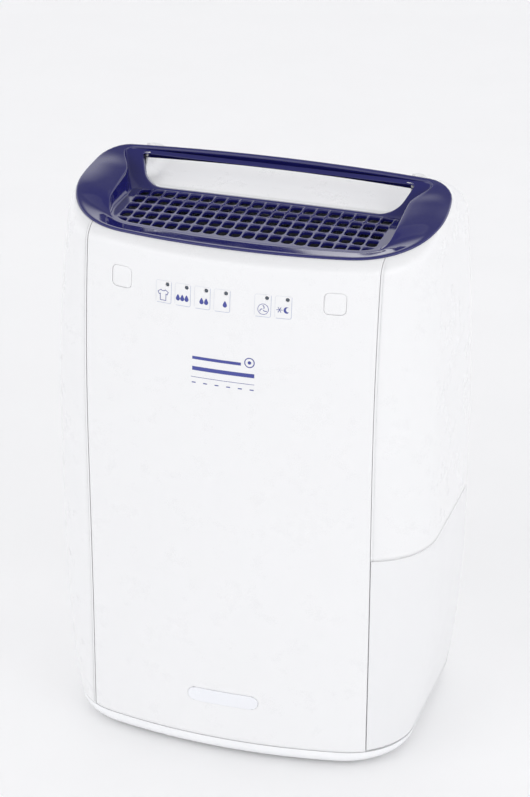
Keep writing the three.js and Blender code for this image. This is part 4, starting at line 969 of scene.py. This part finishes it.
tank = {"bottom": 17.1, "thickness": 2.3, "wallX": 88.0, "frontY": -84.4, "startX": 125.6,
        "parts": [16, 16, 3, 10, 2, 30]}
tankZ = np.concatenate([tank["bottom"] + np.array([0.0, 0.25, 0.8, 1.6]), np.linspace(20, 200, 44),
                        [202.0, 203.2, 203.8, 204.0]])
x, y = wrapOutline(*skinSizes(tankZ), tank["startX"], body["tankRear"], body["cheekHalf"], tank["parts"])
reach = sum(tank["parts"][:3]) + 1
x, y = x[:, :reach], y[:, :reach]


def line2(x0, y0, x1, y1, n):
    t = (np.arange(n) + 1) / n
    return mix(x0, x1, t[None, :]) + 0 * x[:, :1], mix(y0, y1, t[None, :]) + 0 * x[:, :1]


runs = [line2(x[:, -1:], body["tankRear"], tank["wallX"] + 2, body["tankRear"], 10),
        line2(tank["wallX"] + 2, body["tankRear"], tank["wallX"], body["tankRear"] - 2, 2),
        line2(tank["wallX"], body["tankRear"] - 2, tank["wallX"], tank["frontY"] + 2, 16),
        line2(tank["wallX"], tank["frontY"] + 2, tank["wallX"] + 2, tank["frontY"], 2),
        line2(tank["wallX"] + 2, tank["frontY"], tank["startX"] - 0.2, tank["frontY"], 8)]
x = np.concatenate([x] + [r[0] for r in runs], 1)
y = np.concatenate([y] + [r[1] for r in runs], 1)
around = np.roll(np.arange(x.shape[1]), -1), np.roll(np.arange(x.shape[1]), 1)
alongX, alongY = x[:, around[0]] - x[:, around[1]], y[:, around[0]] - y[:, around[1]]
size = np.hypot(alongX, alongY)
outX, outY = alongY / size, -alongX / size
pull = np.array([1.6, 0.8, 0.2] + [0] * (len(tankZ) - 6) + [0.1, 0.3, 0.8])[:, None]
level = np.broadcast_to(tankZ[:, None], x.shape)
outer = np.stack([x - outX * pull, y - outY * pull, level], -1)
inner = np.stack([x - outX * tank["thickness"], y - outY * tank["thickness"], level], -1)[4:-2][::-1]
inner[0, :, 2] = tankZ[-1] - 0.4
midPoint = lambda z: np.broadcast_to(np.array([122.0, -5.0, z]), outer[:1].shape)
shape = np.concatenate([mix(midPoint(tank["bottom"]), outer[:1], t) for t in (0.001, 0.5, 0.93)] + [outer, inner]
                       + [mix(midPoint(inner[-1, 0, 2] - 0.6), inner[-1:], t) for t in (0.93, 0.5, 0.001)], 0)
parts = Parts()
parts.add(shape, gridFaces(shape.shape[0], shape.shape[1], wrapColumns=True))
parts.piece("waterTank", "tankMilk", bodyName="tank", replaced=("water_tank",), merge=True, sharp=50,
            inside=(122.0, -5.0, 100.0))


def roundCap(parts, centre, half, radius, proud, edge, depth, n=48, dome=0.0):
    # a plate with a rounded outline that follows the front skin: a soft edge, a side wall and a closed back
    angles = np.linspace(-pi, pi, n + 1)[:-1]
    ha, hb = roundedLoop(angles, half[0], half[1], radius)
    rows = []
    place = lambda k, inward, trimmed=0.0: frontPlace(centre[0] + ha * k * (1 - trimmed / half[0]),
                                                      centre[1] + hb * k * (1 - trimmed / half[1]), inward)
    for k in (0.001, 0.3, 0.6, 0.85):
        rows.append(place(k, -proud - dome * (1 - k * k), edge))
    for turn in np.linspace(0, pi / 2, 5):
        rows.append(place(1.0, -proud + edge * (1 - np.cos(turn)), edge * (1 - np.sin(turn))))
    for inward, k in ((depth * 0.5, 1.0), (depth, 1.0), (depth, 0.5), (depth, 0.001)):
        rows.append(place(k, inward))
    parts.add(np.array(rows), gridFaces(len(rows), n, wrapColumns=True)[:, ::-1])


def stem(parts, x, z, y0, y1, radius, n=20):
    angles = np.linspace(0, 2 * pi, n + 1)[:-1]
    rows = [np.stack([x + radius * k * np.cos(angles), 0 * angles + yy, z + radius * k * np.sin(angles)], 1)
            for yy, k in ((y0, 0.001), (y0, 1.0), (y1 - 0.5, 1.0), (y1, 0.85), (y1, 0.001))]
    parts.add(np.array(rows), gridFaces(5, n, wrapColumns=True))


for x, node in zip(cover["buttons"], ("power_button", "mode_button")):
    parts = Parts()
    roundCap(parts, (x, cover["buttonLevel"]), (cover["buttonHalf"],) * 2, 4.0, -0.25, 0.7, 7.0, dome=0.35)
    front = float(coverSurface(np.array([x]), np.array([cover["buttonLevel"]]))[0])
    stem(parts, x, cover["buttonLevel"], front + 6.0, -75.9, 3.0)
    parts.piece(node.replace("_b", "B"), "whiteGloss", bodyName=node, replaced=(node,), merge=True, sharp=60)
for i, x in enumerate(cover["lamps"]):
    parts = Parts()
    roundCap(parts, (x, cover["lampLevel"]), (1.5, 1.5), 1.49, -0.25, 0.4, 4.0, n=20, dome=0.3)
    parts.piece(f"lampLens{i + 1}", "lampLens", replaced=(f"lamp_{i + 1}",), merge=True, sharp=60)
parts = Parts()
roundCap(parts, (0.0, cover["badgeLevel"]), cover["badgeHalf"], 6.45, 0.7, 0.6, 1.2, n=72, dome=0.25)
parts.piece("blankBadge", "badgePale", replaced=("blank_badge",), merge=True, sharp=60)
print("base, tank, buttons, lamps and badge made")


# Printed marks on the front, and tile outlines drawn with painted shade and painted highlight

def onSkin(points2d, lift):
    # flat marks laid on the front skin, a hair proud of it
    a, b = points2d[..., 0], points2d[..., 1]
    return frontPlace(a, b, -lift)


def stroke(parts, path, width, closed=False, lift=0.1):
    # a line of even width along a path, with mitred joints
    path = np.asarray(path, float)
    ends = np.concatenate([path, path[:1]]) if closed else path
    finer = [np.linspace(a, b, max(1, int(np.ceil(np.hypot(*(b - a)) / 1.5))) + 1)[:-1]
             for a, b in zip(ends[:-1], ends[1:])]
    path = np.concatenate(finer if closed else finer + [path[-1:]])
    ahead = np.roll(path, -1, 0) - path
    behind = path - np.roll(path, 1, 0)
    if not closed:
        ahead[-1], behind[0] = behind[-1], ahead[0]
    unit = lambda v: v / np.maximum(1e-9, np.linalg.norm(v, axis=1, keepdims=True))
    ahead, behind = unit(ahead), unit(behind)
    direction = unit(ahead + behind)
    normal = np.stack([-direction[:, 1], direction[:, 0]], 1)
    grow = 1 / np.maximum(0.5, np.abs((direction * ahead).sum(1)))[:, None]
    rows = np.array([path - normal * width / 2 * grow, path + normal * width / 2 * grow])
    parts.add(onSkin(rows, lift), gridFaces(2, len(path), wrapColumns=closed))


def fill(parts, loop, lift=0.1):
    loop = np.asarray(loop, float)
    middle = loop.mean(0)
    rows = np.array([mix(middle, loop, 0.002), mix(middle, loop, 0.6), loop])
    parts.add(onSkin(rows, lift), gridFaces(3, len(loop), wrapColumns=True))


def circle(x, z, r, n=24, start=0.0, turn=2 * pi):
    a = start + np.arange(n) / n * turn
    return np.stack([x + r * np.cos(a), z + r * np.sin(a)], 1)


def drop(x, z, h):
    # a drop: a circle drawn out to a point at the top
    a = np.linspace(0, 2 * pi, 25)[:-1]
    wide = 0.34 * h * np.sin(a) * np.where(np.cos(a) > 0, 1 - 0.55 * np.cos(a) ** 1.0, 1.0)
    high = np.where(np.cos(a) > 0, 0.62 * h * np.cos(a), 0.38 * h * np.cos(a))
    return np.stack([x + wide, z + high], 1)


marks = {"tile": (13.6, 18.6), "line": 0.42, "iconLevel": 424.6, "dropHeight": 5.4}
blue, grey, pale = Parts(), Parts(), Parts()
# tile outlines round each lamp: the right and lower edges in the darker grey are painted shade, and the left and upper
# edges in the paler tone are painted highlight, as if each tile stood proud under light from the upper left
for x in cover["lamps"]:
    right, top = x + 3.6, cover["lampLevel"] + 2.9
    left, low = right - marks["tile"][0], top - marks["tile"][1]
    stroke(grey, [(right, top - 0.5), (right, low + 1.2), (right - 0.5, low + 0.4), (right - 1.2, low),
                  (left + 1, low)], 0.34)
    stroke(pale, [(left, low + 1), (left, top - 1.2), (left + 1.2, top), (right - 1, top)], 0.26)
z = marks["iconLevel"]
shirt = np.array([(-4.6, 2.6), (-1.9, 4.4), (-1.0, 3.5), (1.0, 3.5), (1.9, 4.4), (4.6, 2.6), (3.5, 0.4), (2.5, 1.0),
                  (2.5, -4.4), (-2.5, -4.4), (-2.5, 1.0), (-3.5, 0.4)]) + (cover["lamps"][0] - 3.6, z)
stroke(blue, shirt, 0.5, closed=True)
for lamp, offsets in ((1, (-7.4, -3.6, 0.2)), (2, (-3.6, 0.4)), (3, (-0.4,))):
    for dx in offsets:
        fill(blue, drop(cover["lamps"][lamp] + dx - (0.2 if lamp > 1 else 0), z - 0.6, marks["dropHeight"]))
centre = (cover["lamps"][4] - 2.8, z - 0.2)
stroke(blue, circle(*centre, 4.4, 32), 0.42, closed=True)
for a in np.arange(3) * 2 * pi / 3 + 0.5:
    stroke(blue, [(centre[0] + r * np.cos(a + 0.35 * r), centre[1] + r * np.sin(a + 0.35 * r))
                  for r in np.linspace(0.6, 3.4, 6)], 0.6)
centre = (cover["lamps"][5] - 6.2, z + 0.6)
for a in np.arange(3) * pi / 3:
    stroke(blue, [(centre[0] + r * np.cos(a), centre[1] + r * np.sin(a)) for r in (-2.6, 2.6)], 0.45)
mx, mz = cover["lamps"][5] - 0.2, z + 0.6
outer = circle(mx, mz, 2.7, 14, pi / 3.2, 1.38 * pi)
inner = circle(mx + 1.1, mz + 0.4, 1.9, 14, pi / 3.6, 1.42 * pi)
blue.add(onSkin(np.array([outer, inner]), 0.1), gridFaces(2, 14))
# a plain printed mark: a ring, two bars of uneven length, a thin rule and a row of dashes
stroke(blue, circle(23.2, 377.5, 4.0, 28), 0.8, closed=True)
fill(blue, circle(23.2, 377.5, 1.5, 16))
stroke(blue, [(-26.0, 375.6), (-10.0, 375.6), (6.0, 375.6), (16.0, 375.6)], 2.6)
stroke(blue, [(-26.0, 366.4), (-8.0, 366.4), (10.0, 366.4), (27.5, 366.4)], 3.4)
stroke(blue, [(-27.0, 358.8), (-9.0, 358.8), (9.0, 358.8), (27.6, 358.8)], 0.4)
for x in np.linspace(-24.5, 25.5, 6):
    stroke(blue, [(x - 1.7, 354.0), (x + 1.7, 354.0)], 0.9)
# the two tile-outline pieces carry the painted shade (darker grey, lower and right edges) and the painted highlight
# (paler tone, upper and left edges)
for ink, name, materialName in ((blue, "printedMarks", "printBlue"), (grey, "tileOutlinePaintedShade", "tileEdgePaintedShade"),
                                (pale, "tileOutlinePaintedHighlight", "tileEdgePaintedHighlight")):
    ink.piece(name, materialName, slotName="front_cover")
print("printed marks made")


# Finishes of the pieces that keep their shape

finishes = {
    "rubber": ["foot_1", "foot_2", "foot_3", "foot_4", "compressor_bush_1", "compressor_bush_2", "compressor_bush_3",
               "cord_gland", "drain_plug"],
    "blackMoulded": ["power_switch", "mode_switch", "level_switch", "fan_wheel"],
    "darkGreyMoulded": ["fan_scroll"],
    "greenBoard": ["control_board"],
    "lidMilk": ["tank_lid"],
    "floatCream": ["tank_float"],
    "darkMagnet": ["float_magnet"],
    "trayGrey": ["drip_tray"],
    "bareAluminium": ["condenser", "evaporator"],
    "whiteSatin": ["filter_frame", "drain_spout"],
    "wovenNet": ["filter_net"],
    "platedSteel": ["motor_shaft", "motor_bracket", "rear_screw_1", "rear_screw_2", "rear_screw_3", "rear_screw_4"],
    "paintGrey": ["fan_motor"],
    "paintBlack": ["compressor"],
    "copper": ["suction_pipe", "discharge_pipe", "liquid_line"],
    "canAluminium": ["run_capacitor"],
    "sensorBlue": ["humidity_sensor"],
}
for materialName, names in finishes.items():
    for name in names:
        obj = nodes[name]
        if not obj.material_slots:
            obj.data.materials.append(None)
        for place in obj.material_slots:
            place.link = "OBJECT"
            place.material = materials[materialName]
for name in ["front_cover", "rear_housing", "base_pan", "water_tank", "outlet_trim", "power_button", "mode_button",
             "blank_badge"] + [f"lamp_{i + 1}" for i in range(len(cover["lamps"]))]:
    for place in nodes[name].material_slots:
        place.link = "OBJECT"
        place.material = materials["whiteGloss"]


# Floor, light and camera

studio = {"floor": (0.955, 0.955, 0.955), "sky": 0.46, "horizon": 1.55, "seen": (0.925, 0.93, 0.94),
          "aim": (0.0, 0.0031, 0.25), "distance": 2.2741, "azimuth": 18.19, "elevation": 26.88,
          "lens": 118.27, "shift": (0.0041, 0.0582)}

mesh = bpy.data.meshes.new("studioFloor")
n = 41
u = np.linspace(-1, 1, n)
uu, vv = np.meshgrid(u, u)
floorReach = 30.0
spread = [np.sign(uu) * uu ** 2 * floorReach, np.sign(vv) * vv ** 2 * floorReach, 0 * uu]
mesh.from_pydata(np.stack(spread, -1).reshape(-1, 3).tolist(), [], gridFaces(n, n).tolist())
floorObject = bpy.data.objects.new("studioFloor", mesh)
bpy.context.scene.collection.objects.link(floorObject)
tree, shader, place = startMaterial("paleFloor")
skin = useGroup(tree, mouldGroup, Vector=place, Colour=studio["floor"], Shade=tuple(0.985 * c for c in studio["floor"]),
                Grain_Scale=60.0, Rough_Low=0.5, Rough_High=0.6)
tree.links.new(skin.outputs["Color"], shader.inputs["Base Color"])
tree.links.new(skin.outputs["Roughness"], shader.inputs["Roughness"])
mesh.materials.append(materials["paleFloor"])

world = bpy.data.worlds.new("studio")
bpy.context.scene.world = world
world.use_nodes = True
tree = world.node_tree
back = tree.nodes["Background"]
place = tree.nodes.new("ShaderNodeTexCoord")
split = tree.nodes.new("ShaderNodeSeparateXYZ")
tree.links.new(place.outputs["Generated"], split.inputs[0])
glow = span(tree, split.outputs["Z"], 0.52, 0.70, studio["horizon"], studio["sky"])
light = tree.nodes.new("ShaderNodeLightPath")
colour = blendColour(tree, light.outputs["Is Camera Ray"], (1.0, 1.0, 1.02), studio["seen"])
strength = tree.nodes.new("ShaderNodeMix")
tree.links.new(light.outputs["Is Camera Ray"], strength.inputs[0])
tree.links.new(glow, strength.inputs[2])
strength.inputs[3].default_value = 1.0
tree.links.new(colour, back.inputs["Color"])
tree.links.new(strength.outputs[0], back.inputs["Strength"])


def areaLight(name, position, target, size, power, colour=(1, 1, 1)):
    lamp = bpy.data.lights.new(name, "AREA")
    lamp.shape = "RECTANGLE"
    lamp.size, lamp.size_y = size
    lamp.energy = power
    lamp.color = colour
    obj = bpy.data.objects.new(name, lamp)
    obj.location = position
    obj.rotation_euler = (Vector(target) - Vector(position)).to_track_quat("-Z", "Y").to_euler()
    bpy.context.scene.collection.objects.link(obj)
    return obj


areaLight("keyLight", (-1.5, -2.0, 2.3), (0, 0, 0.3), (1.8, 1.4), 8.0)
areaLight("fillLight", (2.2, -1.2, 1.4), (0, 0, 0.25), (1.6, 1.6), 8.0)
areaLight("topLight", (0.1, 0.6, 2.6), (0, 0, 0.3), (1.8, 1.4), 2.0)

camera = bpy.data.cameras.new("mainCamera")
cameraObject = bpy.data.objects.new("mainCamera", camera)
bpy.context.scene.collection.objects.link(cameraObject)
bpy.context.scene.camera = cameraObject
a, e = radians(studio["azimuth"]), radians(studio["elevation"])
backward = Vector((np.sin(a) * np.cos(e), -np.cos(a) * np.cos(e), np.sin(e)))
cameraObject.location = Vector(studio["aim"]) + backward * studio["distance"]
cameraObject.rotation_euler = backward.to_track_quat("Z", "Y").to_euler()
camera.sensor_fit = "AUTO"
camera.sensor_width = 36.0
camera.lens = studio["lens"]
camera.shift_x, camera.shift_y = studio["shift"]
camera.clip_end = 100.0
bpy.context.scene.view_settings.view_transform = "Standard"
print("stage and camera set")
